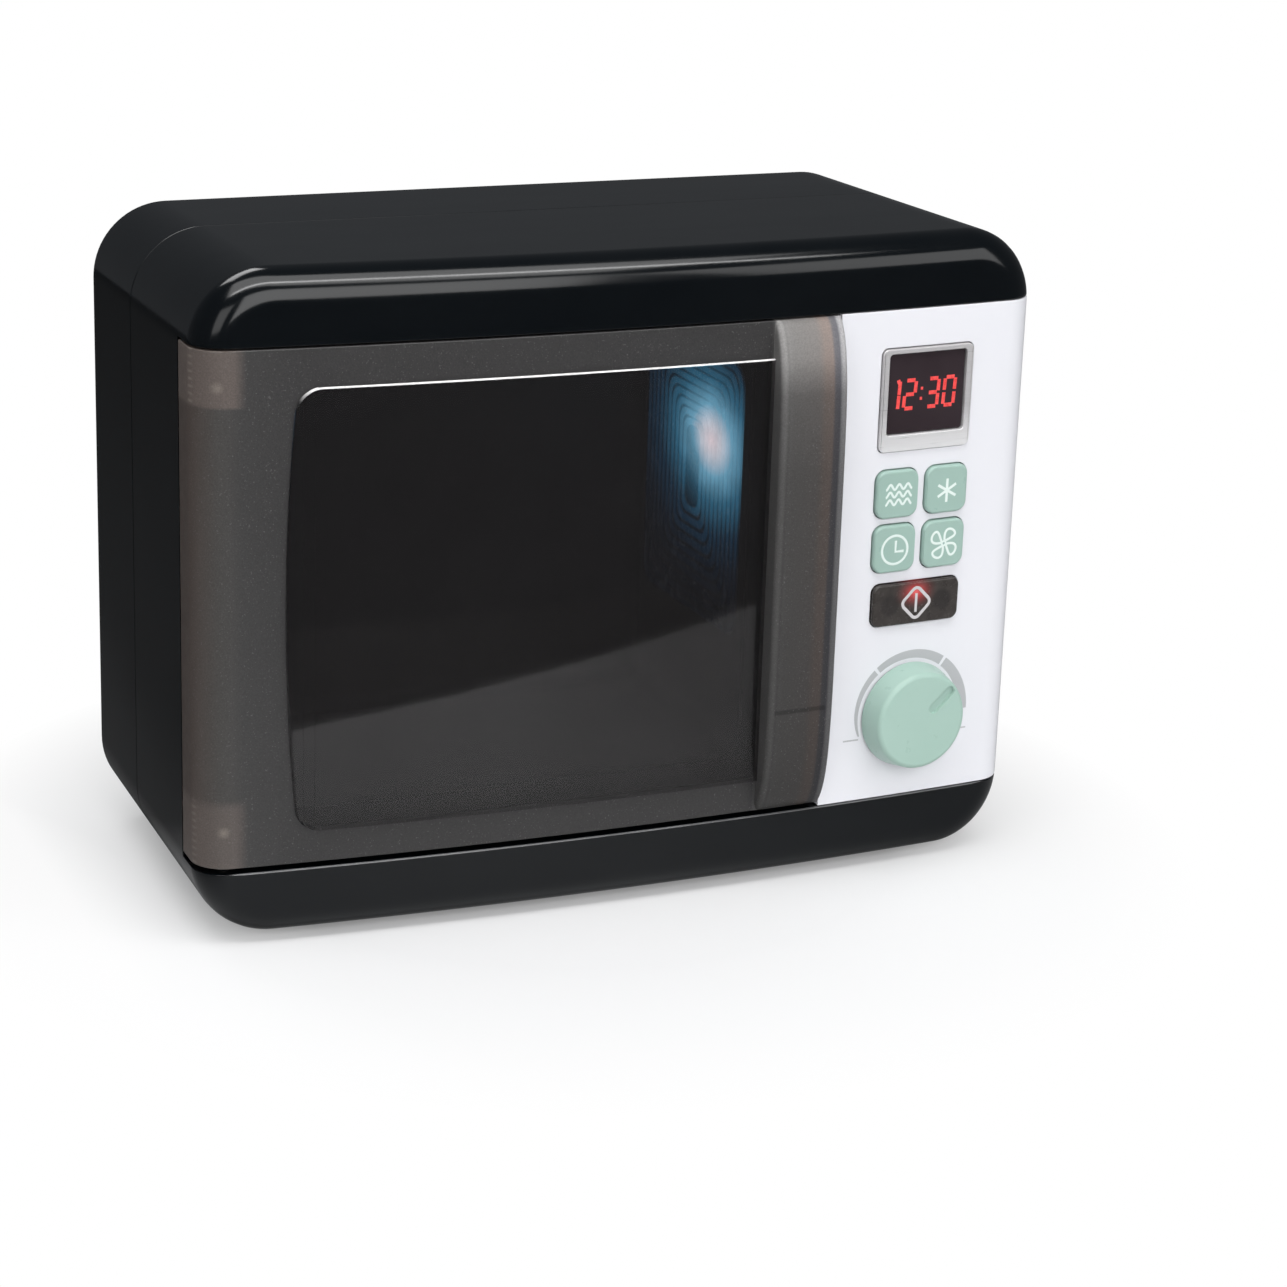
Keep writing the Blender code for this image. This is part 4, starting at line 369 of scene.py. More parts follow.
def finished(item, body, *finishes, stands_for=(), smooth=30):
    """Move a piece back on to the CAD model, give it its finishes and let it ride on its body."""
    item.location = (0, SHIFT, 0)
    settle(item)
    bpy.ops.object.shade_smooth_by_angle(angle=math.radians(smooth))
    step = item.modifiers.new("flat_faces_flat", "WEIGHTED_NORMAL")
    step.keep_sharp = True
    step.weight = 50
    apply(item, step)
    chosen = [face.material_index for face in item.data.polygons]
    item.data.materials.clear()
    for finish in finishes:
        item.data.materials.append(finish)
    for face, index in zip(item.data.polygons, chosen):
        face.material_index = min(index, len(finishes) - 1)
    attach(item, body)
    if stands_for:
        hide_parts(*stands_for)
    return item


# Shader values

class Field:
    """Output of a shader node, which can be added, multiplied and mapped like a number."""

    def __init__(self, tree, socket):
        self.tree, self.socket = tree, socket

    def __add__(self, other):
        return worked("ADD", self, other)

    def __sub__(self, other):
        return worked("SUBTRACT", self, other)

    def __rsub__(self, number):
        return worked("SUBTRACT", number, self)

    def __mul__(self, other):
        return worked("MULTIPLY", self, other)

    def mapped(self, low, high, start=0.3, end=0.7):
        """Map a stretch of the values, by default the middle of a noise, to a range."""
        return node(self.tree, "MapRange", "Result", {
            "Value": self, "From Min": start, "From Max": end, "To Min": low, "To Max": high})


def put(socket, value):
    """Link a field to a socket, or set the socket to a plain value."""
    if isinstance(value, Field):
        value.tree.links.new(value.socket, socket)
    else:
        socket.default_value = (*value, 1) if socket.type == "RGBA" else value


def node(tree, kind, output, inputs, **settings):
    """Add a shader node with its settings and inputs; gives one of its outputs."""
    made = tree.nodes.new("ShaderNode" + kind)
    for name, value in settings.items():
        setattr(made, name, value)
    for socket, value in inputs.items():
        put(made.inputs[socket], value)
    return Field(tree, made.outputs[output])


def worked(operation, *values):
    """Sum, product or the like of fields and numbers."""
    tree = next(value.tree for value in values if isinstance(value, Field))
    return node(tree, "Math", "Value", dict(enumerate(values)), operation=operation)


def highest(first, *others):
    """The largest of several fields."""
    for other in others:
        first = worked("MAXIMUM", first, other)
    return first


def parted(place):
    """The X, Y and Z of a place."""
    parts = place.tree.nodes.new("ShaderNodeSeparateXYZ")
    put(parts.inputs["Vector"], place)
    return [Field(place.tree, parts.outputs[axis]) for axis in "XYZ"]


def speckle(place, scale, detail=3, roughness=0.55, stretch=None):
    """Noise on the object's own coordinates, with its scale in features a metre."""
    if stretch:
        place = node(place.tree, "Mapping", "Vector", {"Vector": place, "Scale": stretch})
    return node(place.tree, "TexNoise", "Fac", {
        "Vector": place, "Scale": scale, "Detail": detail, "Roughness": roughness})


def nearness(place, centre, reach, power=1):
    """From 1 at a place down to 0 at an ellipsoid's edge about it."""
    shrunk = node(place.tree, "Mapping", "Vector", {
        "Vector": place, "Scale": [1 / size for size in reach],
        "Location": [-middle / size for middle, size in zip(centre, reach)]})
    length = node(place.tree, "VectorMath", "Value", {0: shrunk}, operation="LENGTH")
    return worked("POWER", length.mapped(1, 0, 0, 1), power)


def blended(share, first, second):
    """Colour between two colours."""
    return node(share.tree, "Mix", 2, {0: share, 6: first, 7: second}, data_type="RGBA")


def dimmed(colour, amount):
    """Colour times a value."""
    return node(colour.tree, "VectorMath", "Vector", {0: colour, "Scale": amount}, operation="SCALE")


def graded(value, stops):
    """Colour ramp over a value, its stops as positions from 0 to 1 and colours, the two ends first."""
    ramp = value.tree.nodes.new("ShaderNodeValToRGB")
    put(ramp.inputs["Fac"], value)
    marks = ramp.color_ramp.elements
    for index, (position, colour) in enumerate(stops):
        mark = marks[index] if index < 2 else marks.new(position)
        mark.position = position
        mark.color = (*colour, 1)
    return Field(value.tree, ramp.outputs["Color"])


# Finishes

def shader(name):
    """New material: itself, the sockets of its surface and the object's own coordinates."""
    made = bpy.data.materials.new(name)
    made.use_nodes = True
    tree = made.node_tree
    return made, tree.nodes["Principled BSDF"].inputs, node(tree, "TexCoord", "Object", {})


def constants(surface, **values):
    """Set sockets, their names with an underscore for each space, to plain values."""
    for name, value in values.items():
        put(surface[name.replace("_", " ")], value)


def two_tones(place, scale, first, second, detail=3):
    """Soft patches of two colours."""
    return blended(speckle(place, scale, detail).mapped(0, 1), first, second)


def uneven_gloss(surface, place, scale, detail, low, high):
    """Roughness that changes from place to place."""
    put(surface["Roughness"], speckle(place, scale, detail).mapped(low, high))


def bumped(surface, height, strength, distance):
    """Fine relief."""
    put(surface["Normal"], node(height.tree, "Bump", "Normal", {
        "Height": height, "Strength": strength, "Distance": distance}))


def moulded(name, first, second, roughness=0.4, spread=0.05, grain=900, strength=0.08, patches=30, **values):
    """Moulded plastic or metal: two close tones in soft patches, uneven gloss and a fine surface grain."""
    made, surface, place = shader(name)
    put(surface["Base Color"], two_tones(place, patches, first, second))
    uneven_gloss(surface, place, patches * 6, 5, roughness - spread, roughness + spread)
    bumped(surface, speckle(place, grain, 2), strength, 0.0001)
    constants(surface, **values)
    made.diffuse_color = (*first, 1)
    return made


def gloss_black():
    """Black plastic with a slight blue tint, a fine orange peel and rubbed streaks."""
    made, surface, place = shader("gloss_black_plastic")
    put(surface["Base Color"], two_tones(place, 25, (0.0012, 0.0022, 0.0032), (0.0024, 0.0034, 0.0044)))
    put(surface["Roughness"], speckle(place, 30, 5, 0.6, (0.35, 2.2, 1)).mapped(0.10, 0.17))
    bumped(surface, speckle(place, 320, 2), 0.03, 0.0002)
    constants(surface, IOR=1.46)
    return made


def lug_marks(place):
    """Where the solid lugs, their pins and the pins' ribs show through the door."""
    x, y, z = parted(place)
    top_edge, low_edge = level(DOOR_HIGH - TOP_LUG), level(DOOR_LOW + LOW_LUG)
    top = z.mapped(0, 1, top_edge - 0.0006, top_edge + 0.0006)
    low = z.mapped(1, 0, low_edge - 0.0016, low_edge + 0.0016)
    block = x.mapped(1, 0, -0.1385, -0.1345) * highest(top, low * 0.7)
    pins = [nearness(place, (pin_x, SHIFT - 0.001, pin_z), (0.0024, 0.006, 0.0024))
            for pin_x, pin_z in ((-0.1439, 0.1906), (-0.1426, 0.0411))]
    column = y.mapped(0, 1, SHIFT + 0.0060, SHIFT + 0.0074) * y.mapped(1, 0, SHIFT + 0.0082, SHIFT + 0.0096)
    ribs = column * block * worked("SINE", z * (2 * math.pi / 0.0024)).mapped(0, 0.8, 0, 1)
    return block, highest(*pins, ribs)


def smoke_frosted():
    """Translucent smoke plastic with the sparkle of an eroded mould, its walls showing through in bands, and
    painted light and shade on the grip.
    """
    made, surface, place = shader("smoke_frosted_plastic")
    x, _, z = parted(place)
    low, high = -0.152, 0.074
    # Tones across the door: its walls showing through, and on the grip painted highlights on its two crests
    # with painted shade in the dark bands beside them.
    wall_bands_and_grip_light = (
        (-0.1515, (0.140, 0.108, 0.095)), (-0.1480, (0.124, 0.106, 0.096)), (-0.1440, (0.108, 0.102, 0.096)),
        (-0.1360, (0.078, 0.076, 0.075)), (-0.1180, (0.062, 0.060, 0.060)), (0.0440, (0.060, 0.058, 0.058)),
        (0.0462, (0.056, 0.054, 0.055)), (0.0467, (0.105, 0.103, 0.101)), (0.0476, (0.185, 0.180, 0.176)),
        (0.0486, (0.165, 0.160, 0.156)), (0.0492, (0.108, 0.104, 0.101)), (0.0497, (0.112, 0.108, 0.105)),
        (0.0503, (0.136, 0.131, 0.127)), (0.0512, (0.120, 0.115, 0.111)), (0.0610, (0.124, 0.114, 0.109)),
        (0.0634, (0.150, 0.121, 0.107)), (0.0660, (0.158, 0.124, 0.110)), (0.0670, (0.084, 0.082, 0.090)),
        (0.0690, (0.074, 0.073, 0.083)), (0.0698, (0.285, 0.280, 0.284)), (0.0712, (0.230, 0.225, 0.228)),
    )
    stops = [((edge - low) / (high - low), colour) for edge, colour in wall_bands_and_grip_light]
    bands_and_light = graded(x.mapped(0, 1, low, high), stops)
    # Painted light from above on the grip: lighter towards its top, darker low down.
    lights = ((0, 0.20), (1, 1.0), (0.35, 0.25), (0.7, 0.31), (0.86, 0.46), (0.93, 0.98))
    rise = z.mapped(0, 1, level(DOOR_LOW), level(DOOR_HIGH))
    painted_grip_light = graded(rise, [(height, (light, light, light)) for height, light in lights])
    on_grip = x.mapped(0, 1, 0.0466, 0.0474)
    bands_and_light = dimmed(bands_and_light, on_grip * (painted_grip_light * 2.6 - 1) + 1)
    off_rib = worked("ABSOLUTE", z - (level(GRIP_RIB_AT) + GRIP_RIB / 2))
    rib = off_rib.mapped(0.45, 0, GRIP_RIB * 0.3, GRIP_RIB * 0.6)
    rib = rib * x.mapped(0, 1, 0.0485, 0.0495) * x.mapped(1, 0, 0.0680, 0.0690)
    block, dots = lug_marks(place)
    tinted = blended(block * 0.8, dimmed(bands_and_light, 1 - rib), (0.225, 0.182, 0.162))
    tinted = blended(dots * 0.75, tinted, (0.42, 0.36, 0.31))
    fine = speckle(place, 1900, 2, 0.6)
    specks = speckle(place, 1700, 1, 0.5).mapped(0, 0.5, 0.66, 0.75)
    cloudy = dimmed(tinted, fine.mapped(0.86, 1.14, 0.35, 0.65))
    put(surface["Base Color"], blended(specks, cloudy, (0.30, 0.29, 0.285)))
    uneven_gloss(surface, place, 240, 4, 0.36, 0.46)
    bumped(surface, fine, 0.22, 0.0002)
    constants(surface, Transmission_Weight=0.45, IOR=1.45)
    return made


def smoke_polished():
    """Polished smoke plastic of the raised pane."""
    made, surface, place = shader("smoke_polished_plastic")
    put(surface["Base Color"], two_tones(place, 30, (0.37, 0.345, 0.35), (0.42, 0.395, 0.40)))
    uneven_gloss(surface, place, 60, 5, 0.01, 0.035)
    bumped(surface, speckle(place, 90, 1), 0.012, 0.0004)
    constants(surface, Transmission_Weight=0.982, IOR=1.46)
    return made


def pane_edge_highlight():
    """Painted highlight on the upper edge of the raised pane, lighter towards its top."""
    made, surface, place = shader("pane_edge_painted_highlight")
    # Painted highlight: lighter towards the pane's upper edge, with a little noise.
    rise = parted(place)[2].mapped(0.06, 1, level(PANE[3] - 0.0045), level(PANE[3] - 0.0008))
    rise = rise * speckle(place, 500).mapped(0.85, 1.1)
    put(surface["Base Color"], dimmed(graded(rise, ((0, (0.50, 0.485, 0.48)), (1, (0.76, 0.745, 0.74)))), rise))
    uneven_gloss(surface, place, 200, 3, 0.16, 0.24)
    return made


def silver_painted_light():
    """Softly graded silver lacquer with painted light, lighter low down."""
    made, surface, place = shader("silver_frame_painted_light")
    streaks = speckle(place, 260, 6, 0.7, (0.15, 1, 6))
    # Painted light: the frame grows lighter towards its bottom, with the streaks mixed in.
    rise = parted(place)[2].mapped(0.85, 0, level(BEZEL[1]), level(BEZEL[1] + 0.014)) + streaks.mapped(0, 0.15)
    put(surface["Base Color"], blended(rise, (0.53, 0.515, 0.52), (0.88, 0.875, 0.88)))
    put(surface["Roughness"], streaks.mapped(0.26, 0.36))
    bumped(surface, streaks, 0.04, 0.0001)
    constants(surface, Metallic=0.3)
    return made


def lens_glow(name, brightness, plain):
    """Clear lens plastic lit from behind: pinkish white at the lamp, then light blue, teal and black."""
    made, surface, place = shader(name)
    made.cycles.emission_sampling = "NONE"
    halo = nearness(place, (0.055, SHIFT + 0.0525, 0.1465), (0.2, 0.080, 0.058))
    glow = graded(halo, (
        (0.0, (0.0, 0.002, 0.006)), (1.0, (1.0, 0.90, 0.95)), (0.22, (0.001, 0.010, 0.025)),
        (0.42, (0.006, 0.050, 0.105)), (0.62, (0.04, 0.21, 0.35)), (0.78, (0.20, 0.54, 0.76)),
        (0.90, (0.74, 0.83, 0.93)),
    ))
    ripple = speckle(place, 120).mapped(0.85, 1.1)
    put(surface["Emission Color"], dimmed(glow, halo.mapped(plain, 1, 0.45, 0.84) * ripple * brightness))
    put(surface["Base Color"], two_tones(place, 90, (0.010, 0.016, 0.024), (0.016, 0.024, 0.034)))
    uneven_gloss(surface, place, 200, 3, 0.2, 0.32)
    constants(surface, Emission_Strength=1, Specular_IOR_Level=0.12)
    return made


def digit_red():
    """Glowing red of the display's digits."""
    made, surface, place = shader("display_digits_red")
    made.cycles.emission_sampling = "NONE"
    colour = two_tones(place, 900, (0.50, 0.035, 0.034), (0.68, 0.070, 0.065), 2)
    put(surface["Base Color"], colour)
    put(surface["Emission Color"], colour)
    uneven_gloss(surface, place, 400, 3, 0.25, 0.4)
    constants(surface, Emission_Strength=0.5)
    return made


def start_smoke():
    """Dark smoky cap: a red lamp shines through above its sign, and its two stems show as darker rounds."""
    made, surface, place = shader("start_smoke_plastic")
    made.cycles.emission_sampling = "NONE"
    middle = level(START_MIDDLE)
    glow = nearness(place, (CONTROL_X - 0.0003, SHIFT, middle + 0.0040), (0.0105, 0.05, 0.0078), 3)
    reds = graded(glow, ((0, (0.7, 0.02, 0.03)), (1, (1.0, 0.20, 0.20)), (0.35, (0.85, 0.04, 0.05))))
    put(surface["Emission Color"], dimmed(reds, glow))
    rounds = [nearness(place, (CONTROL_X + side * 0.0105, SHIFT, middle), (0.0046, 0.05, 0.0046))
              for side in (-1, 1)]
    dark = highest(*(near.mapped(0, 0.55, 0.05, 0.3) for near in rounds))
    smoke = two_tones(place, 300, (0.030, 0.025, 0.0225), (0.046, 0.040, 0.036), 4)
    put(surface["Base Color"], blended(dark, smoke, (0.014, 0.012, 0.012)))
    uneven_gloss(surface, place, 500, 3, 0.2, 0.3)
    constants(surface, Emission_Strength=1.1)
    return made


BLACK = gloss_black()
FROSTED = smoke_frosted()
POLISHED = smoke_polished()
PANE_EDGE_HIGHLIGHT = pane_edge_highlight()
SILVER = silver_painted_light()
WHITE = moulded("panel_white_plastic", (0.765, 0.765, 0.80), (0.775, 0.775, 0.81), 0.26, 0.004, 420, 0.004,
                14, IOR=1.46)
MINT_GRAIN = (0.3, 0.03, 500, 0.015)
MINT = moulded("mint_plastic", (0.355, 0.512, 0.445), (0.378, 0.536, 0.468), *MINT_GRAIN, IOR=1.46)
# The keys' mint is a darker copy of the knob's: painted shade on the keys.
KEY_MINT_SHADED = moulded("mint_key_shaded_plastic", (0.315, 0.455, 0.400), (0.335, 0.475, 0.420), *MINT_GRAIN, IOR=1.46)
DISPLAY_DARK = moulded("display_dark_lens", (0.026, 0.018, 0.021), (0.036, 0.026, 0.030), 0.1, 0.03, 300, 0.01)
INK_GRAIN = (0.45, 0.06, 1500, 0.05)
INK_WHITE = moulded("sign_white_ink", (0.68, 0.78, 0.74), (0.74, 0.83, 0.79), *INK_GRAIN)
SIGN_GREY = moulded("start_sign_ink", (0.52, 0.50, 0.51), (0.60, 0.58, 0.59), *INK_GRAIN)
INK_GREY = moulded("dial_grey_ink", (0.43, 0.435, 0.45), (0.48, 0.485, 0.50), *INK_GRAIN)
LINER = moulded("cavity_dark_plastic", (0.003, 0.003, 0.0035), (0.0045, 0.0045, 0.005), 0.55, 0.05, 300, 0.01,
                Specular_IOR_Level=0.2)
# Painted highlight on the lower lip's rounded top edge, grey on the black.
LEDGE_HIGHLIGHT = moulded("ledge_painted_highlight", (0.08, 0.08, 0.083), (0.16, 0.16, 0.165), 0.22, 0.05, 500, 0.02, 45)
LENS = lens_glow("lit_lens_plastic", 1.6, 0.12)
LENS_RIB = lens_glow("lit_rib_plastic", 1.7, 0.6)
START_SMOKE = start_smoke()
DIGITS = digit_red()


# Shapes shared by several pieces

def housing_form(name, inset):
    """Bowed, filleted and tapered outer form of the housing, moved in by inset."""
    half_width, half_height = WIDTH / 2 - inset, HEIGHT / 2 - inset
    item = new_block(name, (-half_width, inset, MIDDLE - half_height),
                     (half_width, DEPTH - inset, MIDDLE + half_height))
    edit(item)
    round_edges(item, lambda edge: along(edge, "Y"), CORNER - inset, CORNER_STEPS)
    flat = half_width - (CORNER - inset)
    slice_at("X", [flat * (2 * step / FORM_STEPS - 1) for step in range(FORM_STEPS + 1)])
    choose(item, "VERT", lambda vert: at(vert, "Y", DEPTH - inset))
    draw_in((1 - TAPER / (WIDTH / 2), 1, 1 - TAPER / (HEIGHT / 2)), (0, DEPTH, MIDDLE))
    for end, radius, count in ((inset, FRONT_FILLET - inset, 9), (DEPTH - inset, REAR_FILLET - inset, 4)):
        round_edges(item, lambda edge: at(edge, "Y", end) and any(abs(face.normal.y) < 0.5
                                                                  for face in edge.link_faces), radius, count)
    for side in (-1, 1):
        for share in (0.25, 0.5, 0.75):
            choose(item, "FACE", lambda face: at(face, "Y", inset))
            x = side * (flat + share * (half_width - FRONT_FILLET - flat))
            bpy.ops.mesh.bisect(plane_co=(x, 0, 0), plane_no=(1, 0, 0), threshold=TINY / 10)
    done()
    return swell(item, "Y", lambda place: -bow(place.x) if place.y < FRONT_FILLET + TINY else 0)


def prism(name, left, right, low, high, radius, front=-0.05, back=0.05, steps=10):
    """Rounded outline on the front, heights from the underside."""
    return rounded(new_block(name, (left, front, level(low)), (right, back, level(high))), "Y", radius, steps)


def grown(outline, margin):
    """Outline with a margin all round."""
    left, right, low, high = outline
    return left - margin, right + margin, low - margin, high + margin


def front_patch(name, rise, tool, back):
    """Piece of the bowed form within an outline, from a rise in front of it to a depth behind it."""
    item = carve(housing_form(name, -rise), tool, "INTERSECT")
    return carve(item, housing_form("behind", back))


def cut_from_form(name, inset, low, high):
    """What the bowed form, moved in by inset, has between two corners."""
    return carve(housing_form(name, inset), new_block("outline", low, high), "INTERSECT")


def recess_form(grow):
    """Space in front of the bulkhead, with the trough round the hinge."""
    half = WIDTH / 2 + OVER
    low, high = level(RECESS_LOW) - grow, level(RECESS_HIGH) + grow
    item = new_block("recess", (-half, -OVER, low), (half, RECESS_DEPTH + grow, high))
    trough = new_rod("trough", "Z", (HINGE_X, HINGE_Y, low), high - low, TROUGH + grow, 96)
    return carve(item, trough, "UNION")


def corner_places():
    """Centres, in X and Z, of the housing's screw bosses."""
    inset = WALL + TAPER + BOSS_RADIUS
    reach = (CORNER - inset) * math.sqrt(0.5)
    side, rise = WIDTH / 2 - CORNER + reach, HEIGHT / 2 - CORNER + reach
    return [(sx * side, MIDDLE + sz * rise) for sx in (-1, 1) for sz in (-1, 1)]


# Housing

def front_housing():
    """Front half: glossy bowed frame, recess and bulkhead with the cavity mouth."""
    shell = housing_form("front_housing", 0)
    carve(shell, carve(housing_form("hollow", WALL), recess_form(WALL)))
    half = WIDTH / 2 + OVER
    carve(shell, new_block("behind_seam", (-half, SEAM - GAP / 2, -OVER), (half, DEPTH + OVER, HEIGHT + OVER)))
    carve(shell, recess_form(0))
    carve(shell, prism("mouth", *MOUTH, MOUTH_RADIUS, *BULKHEAD_CUT))
    bay = grown((PANEL_LEFT, WIDTH / 2 - WALL, PANEL_LOW, PANEL_HIGH), -BAY_INSET)
    carve(shell, prism("bay", *bay, BAY_RADIUS, *BULKHEAD_CUT))
    wide, tall = CATCH_SLOT
    carve(shell, new_block("catch_slot", (TONGUE_X - wide, 0.015, level(TONGUE_AT) - tall),
                           (TONGUE_X + wide + CATCH_PLAY, BULKHEAD_CUT[1], level(TONGUE_AT) + tall)))
    for name in ("upper_hinge_pin", "lower_hinge_pin"):
        low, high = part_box(name)
        carve(shell, new_rod("pin_hole", "Z", (HINGE_X, HINGE_Y, low[2] - GAP), high[2] - low[2] + 2 * GAP,
                             PIN_HOLE, 32))
    clean(shell)
    ledge, end = level(RECESS_LOW), WIDTH / 2 - FRONT_FILLET
    edit(shell)
    round_edges(shell, lambda edge: all(
        abs(vert.co.z - ledge) < TINY and abs(vert.co.y + bow(vert.co.x)) < GAP and abs(vert.co.x) < end
        for vert in edge.verts), LEDGE_RADIUS, 4)
    done()
    soften(shell, 0.00035)
    for face in shell.data.polygons:
        x, y, z = face.center
        on_ledge = ledge - LEDGE_RADIUS < z < ledge + TINY and abs(y + bow(x)) < 0.0008 and abs(x) < end
        in_recess = RECESS_DEPTH / 2 < y < RECESS_DEPTH + WALL + GAP and face.normal.y < -0.7
        # The lower lip's rounded top edge takes the painted highlight; the bulkhead's front faces in the recess
        # take the dark cavity plastic.
        face.material_index = 1 if on_ledge and 0.3 < face.normal.z < 0.99 else 2 if in_recess else 0
    return finished(shell, "housing", BLACK, LEDGE_HIGHLIGHT, LINER, stands_for=("front_shell",), smooth=35)


def rear_housing():
    """Rear half: screw wells, battery opening and slotted speaker grille."""
    shell = housing_form("rear_housing", 0)
    half = WIDTH / 2 + OVER
    carve(shell, new_block("before_seam", (-half, -OVER, -OVER), (half, SEAM + GAP / 2, HEIGHT + OVER)))
    carve(shell, housing_form("hollow", WALL))
    for x, z in corner_places():
        boss = new_rod("boss", "Y", (x, SEAM + GAP, z), DEPTH - WALL / 2 - SEAM, BOSS_RADIUS)
        carve(shell, boss, "UNION")
    for x, z in corner_places():
        carve(shell, new_rod("well", "Y", (x, SEAM + WELL_FLOOR, z), DEPTH, WELL_RADIUS))
        carve(shell, new_rod("bore", "Y", (x, SEAM - OVER, z), 0.05, SCREW_BORE, 24))
    back_cut = (DEPTH - 2 * WALL, DEPTH + WALL)
    low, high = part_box("battery_cover")
    cover = grown((low[0], high[0], low[2] - GROUND, high[2] - GROUND), GAP)
    carve(shell, prism("cover_opening", *cover, COVER_RADIUS, *back_cut))
    for row in range(SLOT_ROWS):
        rise = (row - (SLOT_ROWS - 1) / 2) * SLOT_PITCH
        reach, middle = math.sqrt(GRILLE_RADIUS ** 2 - rise ** 2), SPEAKER_HEIGHT + rise
        carve(shell, prism("slot", SPEAKER_X - reach, SPEAKER_X + reach, middle - SLOT_HALF, middle + SLOT_HALF,
                           SLOT_RADIUS, *back_cut, 5))
    soften(clean(shell), 0.0003)
    return finished(shell, "housing", BLACK, stands_for=("rear_shell",), smooth=35)


def cavity():
    """Oven cavity: tapering tub with rounded corners, a flange and the lens window."""
    left, right, low, high = MOUTH

    def tub(name, grow, start, end):
        item = prism(name, *grown(MOUTH, grow), MOUTH_RADIUS + grow, start, end)
        edit(item)
        choose(item, "VERT", lambda vert: at(vert, "Y", end))
        drawn = CAVITY_DRAFT * (end - CAVITY_FRONT) / CAVITY_BACK
        draw_in((1 - 2 * drawn / (right - left), 1, 1 - 2 * drawn / (high - low)),
                ((left + right) / 2, end, level((low + high) / 2)))
        round_edges(item, lambda edge: at(edge, "Y", end), CAVITY_CORNER + grow, 8)
        done()
        return item

    item = tub("oven_cavity", CAVITY_WALL, CAVITY_FRONT, CAVITY_BACK + CAVITY_WALL)
    carve(item, prism("flange", *grown(MOUTH, FLANGE), MOUTH_RADIUS + FLANGE,
                      CAVITY_FRONT, CAVITY_FRONT + CAVITY_WALL), "UNION")
    carve(item, tub("hollow", 0, CAVITY_FRONT - OVER, CAVITY_BACK))
    near, far, bottom, top = WINDOW
    window = new_block("window", (right - OVER / 2, near, level(bottom)), (right + OVER / 2, far, level(top)))
    carve(item, rounded(window, "X", WINDOW_RADIUS, 10))
    soften(clean(item), 0.0003)
    return finished(item, "housing", LINER, stands_for=("cavity_liner",))


def lit_lens():
    """Ribbed lens in the cavity's right wall: ribs one inside another about a place above its middle."""
    plate = MOUTH[1] + CAVITY_WALL + GAP
    raised = plate - CAVITY_WALL - LENS_PLATE
    near, far, bottom, top = WINDOW

    def layer(name, start, end, inset):
        low = level(bottom) + inset * (1 + RING_LIFT_SHARE)
        high = level(top) - inset * (1 - RING_LIFT_SHARE)
        piece = new_block(name, (start, near + inset, low), (end, far - inset, high))
        return rounded(piece, "X", WINDOW_RADIUS - RING_LIFT_SHARE * inset, 8)

    item = layer("lit_lens", plate, plate + LENS_PLATE, -LENS_LIP)
    for ring in range(RIBS):
        inset = ring * RIB_PITCH + GAP
        carve(item, layer("rib", raised, plate + LENS_PLATE / 4 + ring * 0.00005, inset), "UNION")
        carve(item, layer("groove", raised - OVER, raised + RIB_DEPTH, inset + RIB_WIDTH))
    y, z = LAMP_Y, level(LAMP_HEIGHT)
    back = plate + LENS_PLATE / 2
    carve(item, new_block("holder", (back, y - HOLDER_HALF, z - HOLDER_HALF),
                          (back + HOLDER_DEPTH, y + HOLDER_HALF, z + HOLDER_HALF)), "UNION")
    carve(item, new_block("seat", (plate + LENS_PLATE, y - SEAT_HALF, z - SEAT_HALF),
                          (plate + OVER, y + SEAT_HALF, z + SEAT_HALF)))
    soften(item, 0.0002, clamp=True)
    for face in item.data.polygons:
        face.material_index = 1 if face.center.x < raised + GAP else 0
    return finished(item, "housing", LENS, LENS_RIB, stands_for=("lamp_lens",))


# Door

def grip_bar(name, inset):
    """Upright bar of the grip, swelling forward between its ends."""
    left, right = GRIP_LEFT + inset, DOOR_RIGHT - inset
    low, high = level(DOOR_LOW) + inset, level(DOOR_HIGH) - inset
    middle, half = (low + high) / 2, (high - low) / 2
    item = new_block(name, (left, -OVER, low), (right, 0, high))
    edit(item)
    slice_at("Z", [middle + half * math.sin(math.pi * (step / 56 - 0.5)) for step in range(1, 56)])
    slice_at("X", [left + (right - left) * step / 8 for step in range(1, 8)])
    done()

    def forward(place):
        if place.y > -OVER / 2:
            return 0
        share = abs((place.z - middle) / half)
        rise = GRIP_RISE * (1 - min(1, share) ** 6) ** 0.6 - GRIP_SINK
        return OVER + inset - bow(place.x) - rise

    swell(item, "Y", forward)
    edit(item)
    for side, radius in ((-1, GRIP_EDGE), (1, GRIP_TIGHT_EDGE)):
        round_edges(item, lambda edge: any(side * face.normal.x > 0.9 for face in edge.link_faces)
                    and any(face.normal.y < -0.3 for face in edge.link_faces)
                    and abs(edge.verts[0].co.z - edge.verts[1].co.z) > TINY, radius - inset / 4, 6)
    done()
    return item


def pane_outline(inset=0):
    """Outline of the polished pane, its hinge side bulging a little."""
    left, right, low, high = PANE
    item = prism("outline", left + inset, right + OVER / 2, low + inset, high - inset, PANE_RADIUS - inset,
                 -OVER, OVER)
    middle, half = level((low + high) / 2), (high - low) / 2 - inset
    edit(item)
    slice_at("Z", [middle + (half - PANE_RADIUS) * (2 * step / 24 - 1) for step in range(1, 24)])
    done()
    swell(item, "X", lambda place: -PANE_BULGE * (1 - ((place.z - middle) / half) ** 2)
          if place.x < left + 0.003 else 0)
    return carve(item, new_block("under_grip", (GRIP_LEFT + 0.001, -2 * OVER, 0),
                                 (right + OVER, 2 * OVER, HEIGHT + OVER)))


